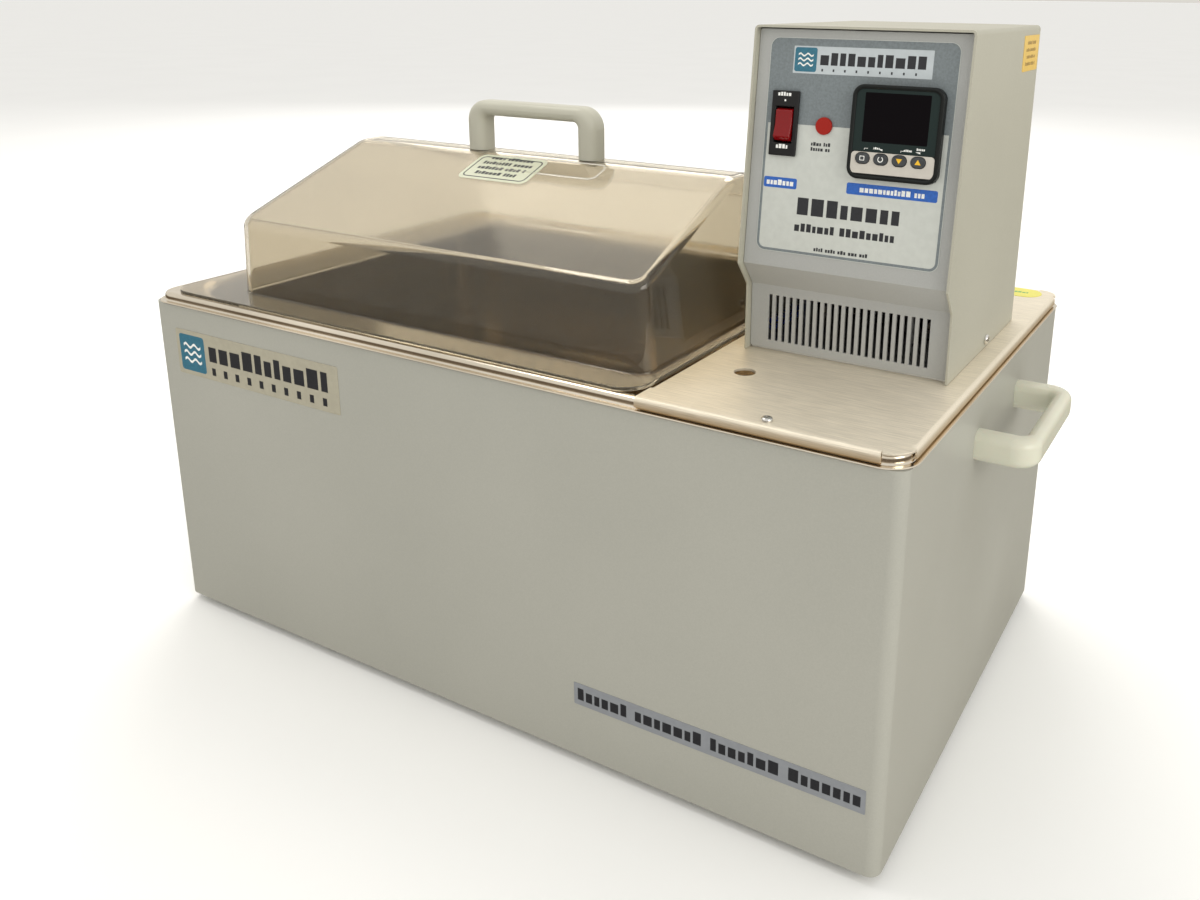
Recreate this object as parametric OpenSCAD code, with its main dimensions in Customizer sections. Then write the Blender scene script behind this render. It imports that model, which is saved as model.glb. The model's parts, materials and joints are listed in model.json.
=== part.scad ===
// Laboratory water bath: a stainless tank in a painted case, a bridge plate that carries a
// heater circulator head, and a clear gable lid that lifts off.
// X runs along the length, Y towards the back and Z up. All sizes are in millimetres.
// The origin is on the bench, under the middle of the case.

/* [Case] */
// Length of the painted case
case_l = 530; // [520:1:540]
// Depth of the painted case
case_w = 325; // [318:1:332]
// Height of the painted case
case_h = 222.4; // [215:0.2:235]
// Radius of the vertical corners of the case
case_r = 7; // [3:1:12]
// Height of the feet under the case
foot_h = 6; // [4:0.5:12]
// Thickness of the case sheet
sheet_t = 1.2; // [0.8:0.1:1.5]

/* [Tank] */
// Inside length of the tank
tank_l = 505; // [490:1:506]
// Inside depth of the tank, front to back
tank_w = 300; // [290:1:301]
// Depth of the tank below its rim
tank_d = 200; // [150:5:204]
// Inside radius of the upright tank corners
tank_r = 52; // [30:1:60]
// Height of the rim above the case
rim_h = 6.4; // [5:0.2:8]

/* [Bridge plate] */
// Left edge of the bridge plate
plate_x = 121; // [115:1:124]
// Thickness of the bridge plate
plate_t = 1.2; // [1:0.1:1.5]
// Diameter of the thermometer hole
thermo_d = 12; // [6:0.5:16]

/* [Head] */
// Width of the circulator head
head_w = 118.6; // [116:0.2:120]
// Height of the circulator head above the bridge plate
head_h = 181.2; // [175:0.2:190]
// Left side of the circulator head
head_x = 134; // [132:0.5:136]
// Set-back of the front panel behind the edge of the cover
panel_in = 4.6; // [3:0.1:6]
// Number of slots in the front grille
vent_count = 23; // [15:1:23]
// Pitch of the slots in the front grille
vent_pitch = 4.17; // [3.5:0.01:4.17]
// Width of one slot in the front grille
vent_slot = 2.1; // [1.5:0.1:2.5]

/* [Lid] */
// Height of the eaves of the lid above the rim
eave_h = 51.5; // [40:0.5:60]
// Height of the ridge of the lid above the rim
ridge_h = 93.8; // [80:0.2:110]
// Thickness of the lid
lid_t = 2.5; // [2:0.1:4]

/* [Handles] */
// Length of each handle
grip_l = 105; // [100:1:115]
// Height of each handle above its feet
grip_h = 33.5; // [30:0.5:36]
// Depth of the handle section
grip_d = 17; // [14:1:20]

/* [Drive] */
// Diameter of the drive shaft
shaft_d = 8; // [6:0.5:8]
// Diameter of the motor
motor_d = 58; // [50:1:58]
// Travel of one push button
button_travel = 0.5; // [0.3:0.1:0.6]

/* [Hidden] */
$fn = 48;
gap = 0.3;

// Heights of the main levels
case_top = foot_h + case_h;
rim_top = case_top + rim_h;
deck_z = rim_top + plate_t;
tank_t = 1;
tank_floor = rim_top - tank_d;

// Rim of the tank, which stands inside the case line, and its lip, which stands outside it
rim_l = case_l - 3.4;
rim_w = case_w - 3.4;
rim_r = 13;
lip_out = 1.7;

// Feet
foot_x = case_l / 2 - 40;
foot_y = case_w / 2 - 40;
foot_r = 14;

// Handles: width of a leg, thickness of the bar, radii and the distance between the screws
leg_w = 14;
bar_t = 10;
grip_r = 14;
grip_in_r = 4;
grip_pitch = grip_l - leg_w;
grip_screw_r = 2;
side_grip_y = 8;
side_grip_z = 196.8;
screw_depth = 14;

// Side outline of the head: back, foot of the front, kink and top of the front
head_back = 77.4;
low_y = -63.4;
low_h = 38.8;
kink_y = -75.1;
kink_h = 53;
top_y = -61.6;
head_mid = head_x + head_w / 2;
lean = atan((top_y - kink_y) / (head_h - kink_h));
cover_t = 1.2;
floor_t = 1.5;
floor_z = deck_z + floor_t;
inner_x = head_x + cover_t + gap;
inner_w = head_w - 2 * (cover_t + gap);
panel_t = 1.5;
rear_in = 2;
cover_screw_y = 12;
cover_screw_h = 5.2;
vent_h = 27;
vent_z = deck_z + 6.3;

// Places on the front panel: x, and distance up the slope from the kink
label_x = 142.3;
label_w = 102.5;
label_s = 8.5;
label_h = 114.2;
label_r = 5;
label_t = 0.25;
ctrl_x = 216.5;
ctrl_s = 76.5;
ctrl_size = 48;
ctrl_r = 6;
ctrl_t = 4;
ctrl_body = 44.6;
ctrl_depth = 62;
window_w = 34.5;
window_h = 25;
window_s = 84;
window_t = 1;
key_w = 44;
key_h = 11;
key_s = 61;
key_t = 0.5;
button_w = 7.4;
button_h = 5.4;
button_s = 63.2;
button_pitch = 9.83;
button_proud = 0.7;
button_len = 3.4;
button_clear = 0.35;
switch_x = 154;
switch_s = 77.8;
switch_w = 15.5;
switch_h = 34.4;
switch_t = 2.2;
rocker_s = 77;
rocker_w = 9.6;
rocker_r = 9;
rocker_z = -1.5;
rocker_rest = 7;
lamp_x = 176.6;
lamp_s = 77.8;
lamp_r = 4.6;
lamp_hole_r = 4;

// Axis of the motor, the pump and the heater
axis_x = 180;
axis_y = 28;
shaft_r = shaft_d / 2;
shaft_clear = 0.4;
motor_r = motor_d / 2;
motor_z = floor_z + 23.5;
motor_h = 62;
mount_t = 3;
mount_l = 74;
mount_w = 70;
post_x = 33;
post_y = 30;
post_r = 3.5;
fan_z = floor_z + 6.5;
fan_r = 27;
fan_h = 10;
seal_h = 4.5;
seal_r = 9;
shaft_low = 66;
column_r = 22;
column_t = 1.5;
column_low = 58;
impeller_h = 14;
impeller_r = 16;
well_r = 42;
coil_r = 34;
coil_tube = 4;
coil_low = 70;
coil_pitch = 12;
coil_turns = 3;
coil_steps = 24;
probe_x = 232;
probe_y = 24;
cutout_probe_y = -12;
probe_r = 3;
probe_low = 96;
probe_nut_r = 7;
probe_nut_h = 5;

// Mains inlet and the parts around it
inlet_x = 226;
inlet_z = deck_z + 38;
inlet_w = 27;
inlet_h = 19.5;
inlet_flange = 50;
inlet_depth = 24;
inlet_screw = 20;
bracket_x = 248;
board_x = 243;
board_y = 2;
board_l = 58;
board_h = 80;

// Lid: walls, eaves and ridge
dome_x0 = -203;
dome_x1 = 110.5;
dome_y = 138;
ridge_y0 = -29;
ridge_y1 = -9;
ridge_y = (ridge_y0 + ridge_y1) / 2;
lid_z = rim_top + 0.1;
flange_x0 = -252;
flange_x1 = plate_x - 1;
flange_y = 158.5;
flange_r = 16;
ridge_z = rim_top + ridge_h;
eave_z = rim_top + eave_h;
lid_grip_x = -47.5;
slope = atan((ridge_h - eave_h) / (ridge_y0 + dome_y));
tag_x = -52.5;
tag_l = 55.5;
tag_w = 31;
tag_s = 97.2;

// A rectangle in the plane with true round corners, centred on the origin
module rounded_rect(l, w, r) {
    square([l - 2 * r, w], center = true);
    square([l, w - 2 * r], center = true);
    for (sx = [-1, 1], sy = [-1, 1])
        translate([sx * (l / 2 - r), sy * (w / 2 - r)]) circle(r = r);
}

// A flat ring between two rounded rectangles
module rect_ring(l, w, r, inner_l, inner_w, inner_r, h) {
    linear_extrude(h) difference() {
        rounded_rect(l, w, r);
        rounded_rect(inner_l, inner_w, inner_r);
    }
}

// An oval with straight sides
module stadium(l, w) {
    square([l - w, w], center = true);
    for (s = [-1, 1]) translate([s * (l - w) / 2, 0]) circle(d = w);
}

// A pan head screw: the head stands on z = 0 and the shank points down
module pan_screw(head_r, head_h, shank_r, shank_l) {
    rotate_extrude() intersection() {
        square([head_r, head_h]);
        translate([0, head_h - head_r * 1.6]) circle(r = head_r * 1.6);
    }
    translate([0, 0, -shank_l]) cylinder(r = shank_r, h = shank_l + 0.1);
}

// A tube swept along points by rings of equal sides. Each ring starts on the side that the
// point's own reference direction names.
module swept_tube(path, refs, r, sides) {
    n = len(path);
    tangents = [for (i = [0 : n - 1]) path[min(i + 1, n - 1)] - path[max(i - 1, 0)]];
    points = [for (i = [0 : n - 1])
        let (t = tangents[i] / norm(tangents[i]),
             b = cross(t, refs[i]) / norm(cross(t, refs[i])),
             a = cross(b, t))
        each [for (k = [0 : sides - 1]) path[i] + r * (cos(360 * k / sides) * a + sin(360 * k / sides) * b)]];
    walls = [for (i = [0 : n - 2], k = [0 : sides - 1])
        let (m = (k + 1) % sides, p = i * sides, q = p + sides)
        each [[p + k, q + k, q + m], [p + k, q + m, p + m]]];
    first = [for (k = [0 : sides - 1]) k];
    last = [for (k = [sides - 1 : -1 : 0]) (n - 1) * sides + k];
    polyhedron(points, concat(walls, [first], [last]));
}

// A bridge handle on z = 0, along X, with its screw holes in the legs
module bridge_grip() {
    difference() {
        translate([0, grip_d / 2, 0]) rotate([90, 0, 0]) linear_extrude(grip_d) difference() {
            union() {
                translate([-grip_l / 2, 0]) square([grip_l, grip_h - grip_r]);
                translate([-grip_l / 2 + grip_r, 0]) square([grip_l - 2 * grip_r, grip_h]);
                for (s = [-1, 1])
                    translate([s * (grip_l / 2 - grip_r), grip_h - grip_r]) circle(r = grip_r);
            }
            translate([0, (grip_h - bar_t) / 2 - grip_in_r])
                rounded_rect(grip_l - 2 * leg_w, grip_h - bar_t + 2 * grip_in_r, grip_in_r);
        }
        for (s = [-1, 1])
            translate([s * grip_pitch / 2, 0, -1]) cylinder(r = grip_screw_r + 0.1, h = screw_depth + 1.5);
    }
}

// Puts a carry handle, or its screws, on one end of the case: side is -1 or 1
module on_case_end(side) {
    translate([side * case_l / 2, side_grip_y, side_grip_z]) rotate([0, side * 90, 0])
        rotate([0, 0, 90]) children();
}

// Puts something on the front panel: X is along it, Y up its slope and Z out of it
module on_panel() {
    translate([0, kink_y + panel_in, deck_z + kink_h]) rotate([90 - lean, 0, 0]) children();
}

// Extrudes an outline given as [y, z] along X
module along_x(x0, x1) {
    translate([x0, 0, 0]) rotate([90, 0, 90]) linear_extrude(x1 - x0) children();
}

// Side outline of the head, up to the given height
function head_front(height) = let (f = (height - kink_h) / (head_h - kink_h))
    [kink_y + f * (top_y - kink_y), deck_z + height];

module rubber_feet() {
    color("#2a2a2a") for (sx = [-1, 1], sy = [-1, 1])
        translate([sx * foot_x, sy * foot_y, 0]) difference() {
            cylinder(r = foot_r, h = foot_h + sheet_t);
            translate([0, 0, -1]) cylinder(r = 5, h = 4);
            translate([0, 0, -1]) cylinder(r = 2.1, h = foot_h + sheet_t + 2);
        }
}

module foot_screws() {
    color("#c8c8c8") for (sx = [-1, 1], sy = [-1, 1])
        translate([sx * foot_x, sy * foot_y, 3]) mirror([0, 0, 1]) pan_screw(4, 2.4, 2, 7.5);
}

module base_plate() {
    color("#b9bab4") difference() {
        translate([0, 0, foot_h + sheet_t]) linear_extrude(sheet_t)
            rounded_rect(case_l - 2 * sheet_t - 0.6, case_w - 2 * sheet_t - 0.6, case_r - sheet_t);
        for (sx = [-1, 1], sy = [-1, 1])
            translate([sx * foot_x, sy * foot_y, 0]) cylinder(r = 2.2, h = 20);
        base_screw_places() cylinder(r = 1.7, h = 20);
    }
}

// The eight screws that hold the base plate to the turned-in foot of the case
module base_screw_places() {
    for (sx = [-1, 1], sy = [-1, 1]) {
        translate([sx * (case_l / 2 - 9), sy * 70, 0]) children();
        translate([sx * 130, sy * (case_w / 2 - 9), 0]) children();
    }
}

module base_screws() {
    color("#c8c8c8") base_screw_places()
        translate([0, 0, foot_h]) mirror([0, 0, 1]) pan_screw(3, 2, 1.5, 5);
}

module outer_case() {
    foot_turn = 16;
    top_turn = 9;
    color("#cfcdc2") difference() {
        union() {
            translate([0, 0, foot_h]) rect_ring(case_l, case_w, case_r, case_l - 2 * sheet_t,
                case_w - 2 * sheet_t, case_r - sheet_t, case_h);
            translate([0, 0, foot_h]) rect_ring(case_l, case_w, case_r, case_l - 2 * foot_turn,
                case_w - 2 * foot_turn, case_r, sheet_t);
            translate([0, 0, case_top - sheet_t]) rect_ring(case_l, case_w, case_r, case_l - 2 * top_turn,
                case_w - 2 * top_turn, case_r, sheet_t);
        }
        base_screw_places() cylinder(r = 1.7, h = 20);
        for (side = [-1, 1]) on_case_end(side) for (s = [-1, 1])
            translate([s * grip_pitch / 2, 0, -5]) cylinder(r = grip_screw_r + 0.2, h = 10);
    }
}

module insulation_walls() {
    pocket = 16;
    color("#d9c98f") difference() {
        translate([0, 0, tank_floor]) rect_ring(case_l - 2 * sheet_t - 0.8, case_w - 2 * sheet_t - 0.8,
            case_r - sheet_t, tank_l + 2 * tank_t + 0.8, tank_w + 2 * tank_t + 0.8, tank_r + tank_t,
            case_top - sheet_t - tank_floor - 1);
        for (side = [-1, 1]) on_case_end(side) for (s = [-1, 1])
            translate([s * grip_pitch / 2 - pocket / 2, -pocket / 2, -sheet_t - 6]) cube([pocket, pocket, 8]);
    }
}

module insulation_base() {
    bottom = foot_h + 2 * sheet_t + 3;
    color("#d9c98f") translate([0, 0, bottom]) linear_extrude(tank_floor - tank_t - bottom - 0.1)
        rounded_rect(case_l - 2 * sheet_t - 0.8, case_w - 2 * sheet_t - 0.8, case_r - sheet_t);
}

module bath_tank() {
    color("#bdbbb4") union() {
        translate([0, 0, tank_floor - tank_t]) rect_ring(tank_l + 2 * tank_t, tank_w + 2 * tank_t,
            tank_r + tank_t, tank_l, tank_w, tank_r, tank_d + tank_t);
        translate([0, 0, tank_floor - tank_t]) linear_extrude(tank_t)
            rounded_rect(tank_l + 2 * tank_t, tank_w + 2 * tank_t, tank_r + tank_t);
        translate([0, 0, rim_top - tank_t]) rect_ring(rim_l, rim_w, rim_r, tank_l, tank_w, tank_r, tank_t);
        translate([0, 0, case_top]) rect_ring(rim_l, rim_w, rim_r, rim_l - 2 * tank_t,
            rim_w - 2 * tank_t, rim_r - tank_t, rim_h);
        translate([0, 0, case_top]) rect_ring(case_l + 2 * lip_out, case_w + 2 * lip_out,
            rim_r + 3, rim_l - 2 * tank_t, rim_w - 2 * tank_t, rim_r - tank_t, tank_t);
    }
}

module left_carry_handle() {
    color("#e4e3d3") on_case_end(-1) bridge_grip();
}

module right_carry_handle() {
    color("#e4e3d3") on_case_end(1) bridge_grip();
}

module carry_handle_screws() {
    color("#c8c8c8") for (side = [-1, 1]) on_case_end(side) for (s = [-1, 1])
        translate([s * grip_pitch / 2, 0, -sheet_t]) mirror([0, 0, 1])
            pan_screw(4, 2.4, grip_screw_r, screw_depth);
}

// The two screws that hold the bridge plate to the rim
module bridge_screw_places() {
    for (s = [-1, 1]) translate([192.4, s * 155.6, 0]) children();
}

module bridge_plate() {
    fold_h = 5.6;
    fold_end = 13;
    edge_fold = 14;
    color("#c9c4b8") difference() {
        union() {
            translate([0, 0, rim_top]) linear_extrude(plate_t) intersection() {
                rounded_rect(case_l, case_w, rim_r + 1);
                translate([plate_x, -case_w]) square([case_l, 2 * case_w]);
            }
            for (s = [-1, 1])
                translate([plate_x, s * (case_w / 2 - plate_t / 2) - plate_t / 2, deck_z - fold_h])
                    cube([case_l / 2 - fold_end - plate_x, plate_t, fold_h]);
            translate([case_l / 2 - plate_t, -case_w / 2 + fold_end, deck_z - fold_h])
                cube([plate_t, case_w - 2 * fold_end, fold_h]);
            translate([plate_x, -tank_w / 2 + 4, deck_z - edge_fold])
                cube([plate_t, tank_w - 8, edge_fold]);
        }
        translate([152.4, -99.4, 0]) cylinder(d = thermo_d, h = 400);
        translate([axis_x, axis_y, 0]) cylinder(r = well_r, h = 400);
        for (y = [probe_y, cutout_probe_y])
            translate([probe_x, y, 0]) cylinder(r = probe_r + 1, h = 400);
        bridge_screw_places() cylinder(r = 1.7, h = 400);
    }
}

module bridge_plate_screws() {
    color("#d0d0d0") bridge_screw_places() translate([0, 0, deck_z]) pan_screw(3, 2, 1.5, plate_t);
}

module case_badge() {
    color("#d8d5cb") translate([-168.4, -case_w / 2, 196.3]) rotate([90, 0, 0])
        linear_extrude(label_t) rounded_rect(153, 31.5, 1);
}

module case_strip() {
    color("#a7a8aa") translate([168.7, -case_w / 2, 48.5]) rotate([90, 0, 0]) rotate([0, 0, 0.6])
        linear_extrude(label_t) rounded_rect(175.6, 14, 0.6);
}

module plate_sticker() {
    color("#d9cf3a") translate([239, 148, deck_z]) linear_extrude(label_t) stadium(34, 22);
}

module head_base() {
    turn_h = 12;
    front = low_y + panel_in + panel_t + gap;
    back = head_back - rear_in - panel_t - gap;
    color("#b9bab4") difference() {
        union() {
            translate([inner_x, front, deck_z]) cube([inner_w, back - front, floor_t]);
            for (x = [inner_x, inner_x + inner_w - cover_t])
                translate([x, front + 4, deck_z]) cube([cover_t, 120, turn_h]);
        }
        translate([axis_x, axis_y, 0]) cylinder(r = shaft_r + 1, h = 400);
        for (s = [-1, 1])
            translate([axis_x + s * coil_r, axis_y, 0]) cylinder(r = coil_tube + 0.2, h = 400);
        for (y = [probe_y, cutout_probe_y])
            translate([probe_x, y, 0]) cylinder(r = probe_r + 0.1, h = 400);
        cover_screw_holes();
    }
}

// Holes for the screw in each side of the head
module cover_screw_holes() {
    translate([head_x - 5, cover_screw_y, deck_z + cover_screw_h]) rotate([0, 90, 0])
        cylinder(r = 1.7, h = head_w + 10);
}

module head_front_panel() {
    top = head_h - cover_t - 0.8;
    foot = [low_y, floor_z];
    outline = [foot, [low_y, deck_z + low_h], [kink_y, deck_z + kink_h], head_front(top)];
    color("#b4b8ba") difference() {
        along_x(inner_x, inner_x + inner_w) polygon(concat(
            [for (q = outline) q + [panel_in, 0]],
            [for (i = [3 : -1 : 0]) outline[i] + [panel_in + panel_t, 0]]));
        for (i = [0 : vent_count - 1])
            translate([head_mid + (i - (vent_count - 1) / 2) * vent_pitch - vent_slot / 2, low_y - 5, vent_z])
                cube([vent_slot, 20, vent_h]);
        on_panel() {
            translate([ctrl_x - ctrl_body / 2 - 0.2, ctrl_s - ctrl_body / 2 - 0.2, -10])
                cube([ctrl_body + 0.4, ctrl_body + 0.4, 20]);
            translate([switch_x - 6.7, switch_s - 15.2, -10]) cube([13.4, 30.4, 20]);
            translate([lamp_x, lamp_s, -10]) cylinder(r = lamp_hole_r + 0.2, h = 20);
        }
    }
}

module head_rear_panel() {
    slots = 12;
    color("#b4b8ba") difference() {
        translate([inner_x, head_back - rear_in - panel_t, floor_z])
            cube([inner_w, panel_t, head_h - floor_t - cover_t - 1]);
        translate([inlet_x - inlet_w / 2 - 0.2, head_back - 10, inlet_z - inlet_h / 2 - 0.2])
            cube([inlet_w + 0.4, 20, inlet_h + 0.4]);
        for (s = [-1, 1]) translate([inlet_x + s * inlet_screw, head_back + 5, inlet_z])
            rotate([90, 0, 0]) cylinder(r = 1.7, h = 20);
        for (i = [0 : slots - 1])
            translate([head_mid + (i - (slots - 1) / 2) * 7 - 1.5, head_back - 10, deck_z + 130])
                cube([3, 20, 28]);
    }
}

module head_cover() {
    color("#cbc8ba") difference() {
        along_x(head_x, head_x + head_w) polygon([
            [head_back, deck_z + 0.2], [head_back, deck_z + head_h], [top_y, deck_z + head_h],
            [kink_y, deck_z + kink_h], [low_y, deck_z + low_h], [low_y, deck_z + 0.2]]);
        translate([head_x + cover_t, -150, 0])
            cube([head_w - 2 * cover_t, 300, deck_z + head_h - cover_t]);
        cover_screw_holes();
    }
}

module cover_screws() {
    color("#d0d0d0") {
        translate([head_x + head_w, cover_screw_y, deck_z + cover_screw_h]) rotate([0, 90, 0])
            pan_screw(3, 2, 1.5, 3.2);
        translate([head_x, cover_screw_y, deck_z + cover_screw_h]) rotate([0, -90, 0])
            pan_screw(3, 2, 1.5, 3.2);
    }
}

module front_label() {
    color("#d7d8d5") on_panel() linear_extrude(label_t) difference() {
        translate([label_x + label_w / 2, label_s + label_h / 2]) rounded_rect(label_w, label_h, label_r);
        translate([ctrl_x, ctrl_s]) square(ctrl_body + 0.6, center = true);
        translate([switch_x, switch_s]) square([13.6, 30.6], center = true);
        translate([lamp_x, lamp_s]) circle(r = lamp_hole_r + 0.3);
    }
}

module side_sticker() {
    color("#e2bd35") translate([head_x + head_w, 57, deck_z + 166]) rotate([90, 0, 90])
        linear_extrude(label_t) rounded_rect(36, 20, 1);
}

module controller() {
    color("#1f2324") on_panel() difference() {
        union() {
            translate([ctrl_x, ctrl_s, label_t]) linear_extrude(ctrl_t)
                rounded_rect(ctrl_size, ctrl_size, ctrl_r);
            translate([ctrl_x - ctrl_body / 2, ctrl_s - ctrl_body / 2, -ctrl_depth])
                cube([ctrl_body, ctrl_body, ctrl_depth + 1]);
        }
        translate([ctrl_x - window_w / 2 - 0.1, window_s - window_h / 2 - 0.1, label_t + ctrl_t - window_t])
            cube([window_w + 0.2, window_h + 0.2, 5]);
        translate([ctrl_x, 0, label_t + ctrl_t - button_len]) button_places()
            linear_extrude(10) stadium(button_w + 2 * button_clear, button_h + 2 * button_clear);
    }
}

// The four buttons in a row under the window, or only the one with the given index
module button_places(only = -1) {
    for (i = [0 : 3]) if (only < 0 || i == only)
        translate([(i - 1.5) * button_pitch - 1, button_s, 0]) children();
}

module controller_window() {
    color("#120a0c") on_panel()
        translate([ctrl_x - window_w / 2, window_s - window_h / 2, label_t + ctrl_t - window_t])
            cube([window_w, window_h, window_t]);
}

module keypad_plate() {
    color("#b9b6b1") on_panel() translate([ctrl_x, 0, label_t + ctrl_t]) linear_extrude(key_t) difference() {
        translate([0, key_s]) rounded_rect(key_w, key_h, 2);
        button_places() stadium(button_w + 2 * button_clear, button_h + 2 * button_clear);
    }
}

// One push button: index counts from the left
module push_button(index) {
    travel_room = 0.8;
    bottom = label_t + ctrl_t - button_len + travel_room;
    on_panel() translate([ctrl_x, 0, bottom]) button_places(index)
        linear_extrude(label_t + ctrl_t + key_t + button_proud - bottom) stadium(button_w, button_h);
}

module page_button() { color("#3b3f40") push_button(0); }
module scroll_button() { color("#3b3f40") push_button(1); }
module down_button() { color("#3b3f40") push_button(2); }
module up_button() { color("#3b3f40") push_button(3); }

module switch_frame() {
    depth = 26;
    pocket = 12;
    color("#18181a") on_panel() difference() {
        union() {
            translate([switch_x - switch_w / 2, switch_s - switch_h / 2, label_t])
                cube([switch_w, switch_h, switch_t]);
            translate([switch_x - 6.5, switch_s - 15, -depth]) cube([13, 30, depth + 1]);
        }
        translate([switch_x - rocker_w / 2 - 0.4, rocker_s - rocker_r - 0.5, -pocket])
            cube([rocker_w + 0.8, 2 * rocker_r + 1, pocket + 10]);
    }
}

module switch_rocker() {
    dish = 8;
    rise = 4.6;
    span = 20;
    color("#a3161a") on_panel() translate([switch_x - rocker_w / 2, rocker_s, rocker_z])
        rotate([-rocker_rest, 0, 0]) rotate([90, 0, 90]) linear_extrude(rocker_w) intersection() {
            circle(r = rocker_r);
            polygon([[-span, -span], [span, -span], [span, rise + span * tan(dish)], [0, rise],
                [-span, rise + span * tan(dish)]]);
        }
}

module over_temp_lamp() {
    color("#a4281c") on_panel() translate([lamp_x, lamp_s, 0]) {
        translate([0, 0, label_t]) cylinder(r = lamp_r, h = 1.4);
        translate([0, 0, -14]) cylinder(r = lamp_hole_r, h = 15);
    }
}

module mains_inlet() {
    well = 17;
    flange_t = 1.8;
    color("#161616") difference() {
        translate([inlet_x, head_back - rear_in, inlet_z]) rotate([-90, 0, 0]) difference() {
            union() {
                linear_extrude(flange_t) rounded_rect(inlet_flange, 23, 4);
                translate([-inlet_w / 2, -inlet_h / 2, -inlet_depth])
                    cube([inlet_w, inlet_h, inlet_depth + 1]);
            }
            translate([-12, -8, flange_t - well]) cube([24, 16, 30]);
            for (s = [-1, 1]) translate([s * inlet_screw, 0, -5]) cylinder(r = 1.7, h = 10);
        }
        pin_blades();
    }
}

// The three flat pins of the inlet, which pass through the floor of its socket
module pin_blades() {
    pin_back = 28;
    pin_front = 2.3;
    for (p = [[-7, -2], [0, 2], [7, -2]])
        translate([inlet_x + p[0] - 1, head_back - rear_in - pin_back, inlet_z + p[1] - 2])
            cube([2, pin_back - pin_front, 4]);
}

module inlet_pins() {
    color("#c9b873") pin_blades();
}

module inlet_screws() {
    color("#d0d0d0") for (s = [-1, 1])
        translate([inlet_x + s * inlet_screw, head_back - rear_in + 1.8, inlet_z])
            rotate([-90, 0, 0]) pan_screw(2.8, 1.6, 1.5, 7);
}

module terminal_block() {
    ways = 4;
    color("#e6e2d4") difference() {
        translate([152, 63, floor_z]) cube([ways * 9, 10, 13]);
        for (i = [0 : ways - 1])
            translate([156.5 + i * 9, 68, floor_z + 6]) cylinder(r = 2, h = 10);
    }
}

// Wires from the switch down beside the grille and back to the terminal block
module wiring_loom() {
    route = [[150, -36, 300], [147, -36, 297], [143, -40, 292], [140.5, -46, 284], [140, -50, 272],
        [140, -51, 258], [140, -49, 248], [140, -40, 243], [140, -20, 242], [140, 0, 242],
        [140, 20, 242], [140, 40, 242], [140, 58, 243], [141.5, 64, 244.5], [145, 67.5, 246],
        [150.5, 68, 246]];
    for (k = [0 : 1]) color(k == 0 ? "#1d3f9c" : "#7a3c1e")
        swept_tube([for (q = route) q + [0, 0, k * 4.2]], [for (q = route) [1, 0, 0]], 1.5, 8);
}

module board_bracket() {
    color("#b9bab4") difference() {
        union() {
            translate([bracket_x, board_y, floor_z]) cube([cover_t, board_l, board_h + 8]);
            translate([bracket_x - 8, board_y, floor_z]) cube([9, board_l, cover_t]);
        }
        board_post_places() cylinder(r = 1.6, h = 12);
    }
}

// The four standoffs of the circuit board, along X from the board to the bracket
module board_post_places() {
    for (y = [6, board_l - 6], z = [14, board_h])
        translate([board_x - 2, board_y + y, floor_z + z]) rotate([0, 90, 0]) children();
}

module control_board() {
    board_t = 1.6;
    color("#2f6b46") difference() {
        union() {
            translate([board_x, board_y, floor_z + 6]) cube([board_t, board_l, board_h]);
            board_post_places() translate([0, 0, 2 + board_t])
                cylinder(r = 2.6, h = bracket_x - board_x - board_t);
            translate([board_x - 12, board_y + 10, floor_z + 60]) cube([12, 34, 18]);
        }
        board_post_places() cylinder(r = 1.6, h = 12);
    }
}

module relay() {
    color("#20262e") translate([board_x - 18, board_y + 6, floor_z + 20]) cube([18, 38, 28]);
}

module motor_mount() {
    color("#b9bab4") difference() {
        union() {
            translate([axis_x - mount_l / 2, axis_y - mount_w / 2, motor_z - mount_t])
                cube([mount_l, mount_w, mount_t]);
            for (sx = [-1, 1], sy = [-1, 1])
                translate([axis_x + sx * post_x, axis_y + sy * post_y, floor_z])
                    cylinder(r = post_r, h = motor_z - mount_t - floor_z + 0.5);
        }
        translate([axis_x, axis_y, 0]) cylinder(r = shaft_r + 2, h = 400);
        for (s = [-1, 1])
            translate([axis_x + s * coil_r, axis_y, 0]) cylinder(r = coil_tube + 1, h = 400);
    }
}

module motor() {
    color("#55595c") translate([axis_x, axis_y, motor_z]) difference() {
        union() {
            cylinder(r = motor_r - 3, h = motor_h);
            for (z = [0, motor_h - 12]) translate([0, 0, z]) cylinder(r = motor_r, h = 12);
            translate([0, 0, motor_h - 1]) cylinder(r = 10, h = 5);
        }
        translate([0, 0, -1]) cylinder(r = shaft_r + shaft_clear, h = motor_h + 10);
    }
}

module shaft_seal() {
    color("#30302e") translate([axis_x, axis_y, floor_z]) difference() {
        cylinder(r = seal_r, h = seal_h);
        translate([0, 0, -1]) cylinder(r = shaft_r + shaft_clear, h = seal_h + 2);
    }
}

module drive_shaft() {
    color("#c9cacc") translate([axis_x, axis_y, shaft_low])
        cylinder(r = shaft_r, h = motor_z + motor_h + 6 - shaft_low);
}

module cooling_fan() {
    blades = 6;
    hub_r = 9;
    color("#2e2f31") translate([axis_x, axis_y, fan_z]) difference() {
        union() {
            cylinder(r = hub_r, h = fan_h);
            for (i = [0 : blades - 1]) rotate([0, 0, i * 360 / blades])
                translate([hub_r - 2, 0, fan_h / 2]) rotate([35, 0, 0])
                    translate([0, -0.7, -5]) cube([fan_r - hub_r, 1.4, 10]);
        }
        translate([0, 0, -1]) cylinder(r = shaft_r, h = fan_h + 2);
    }
}

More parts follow.
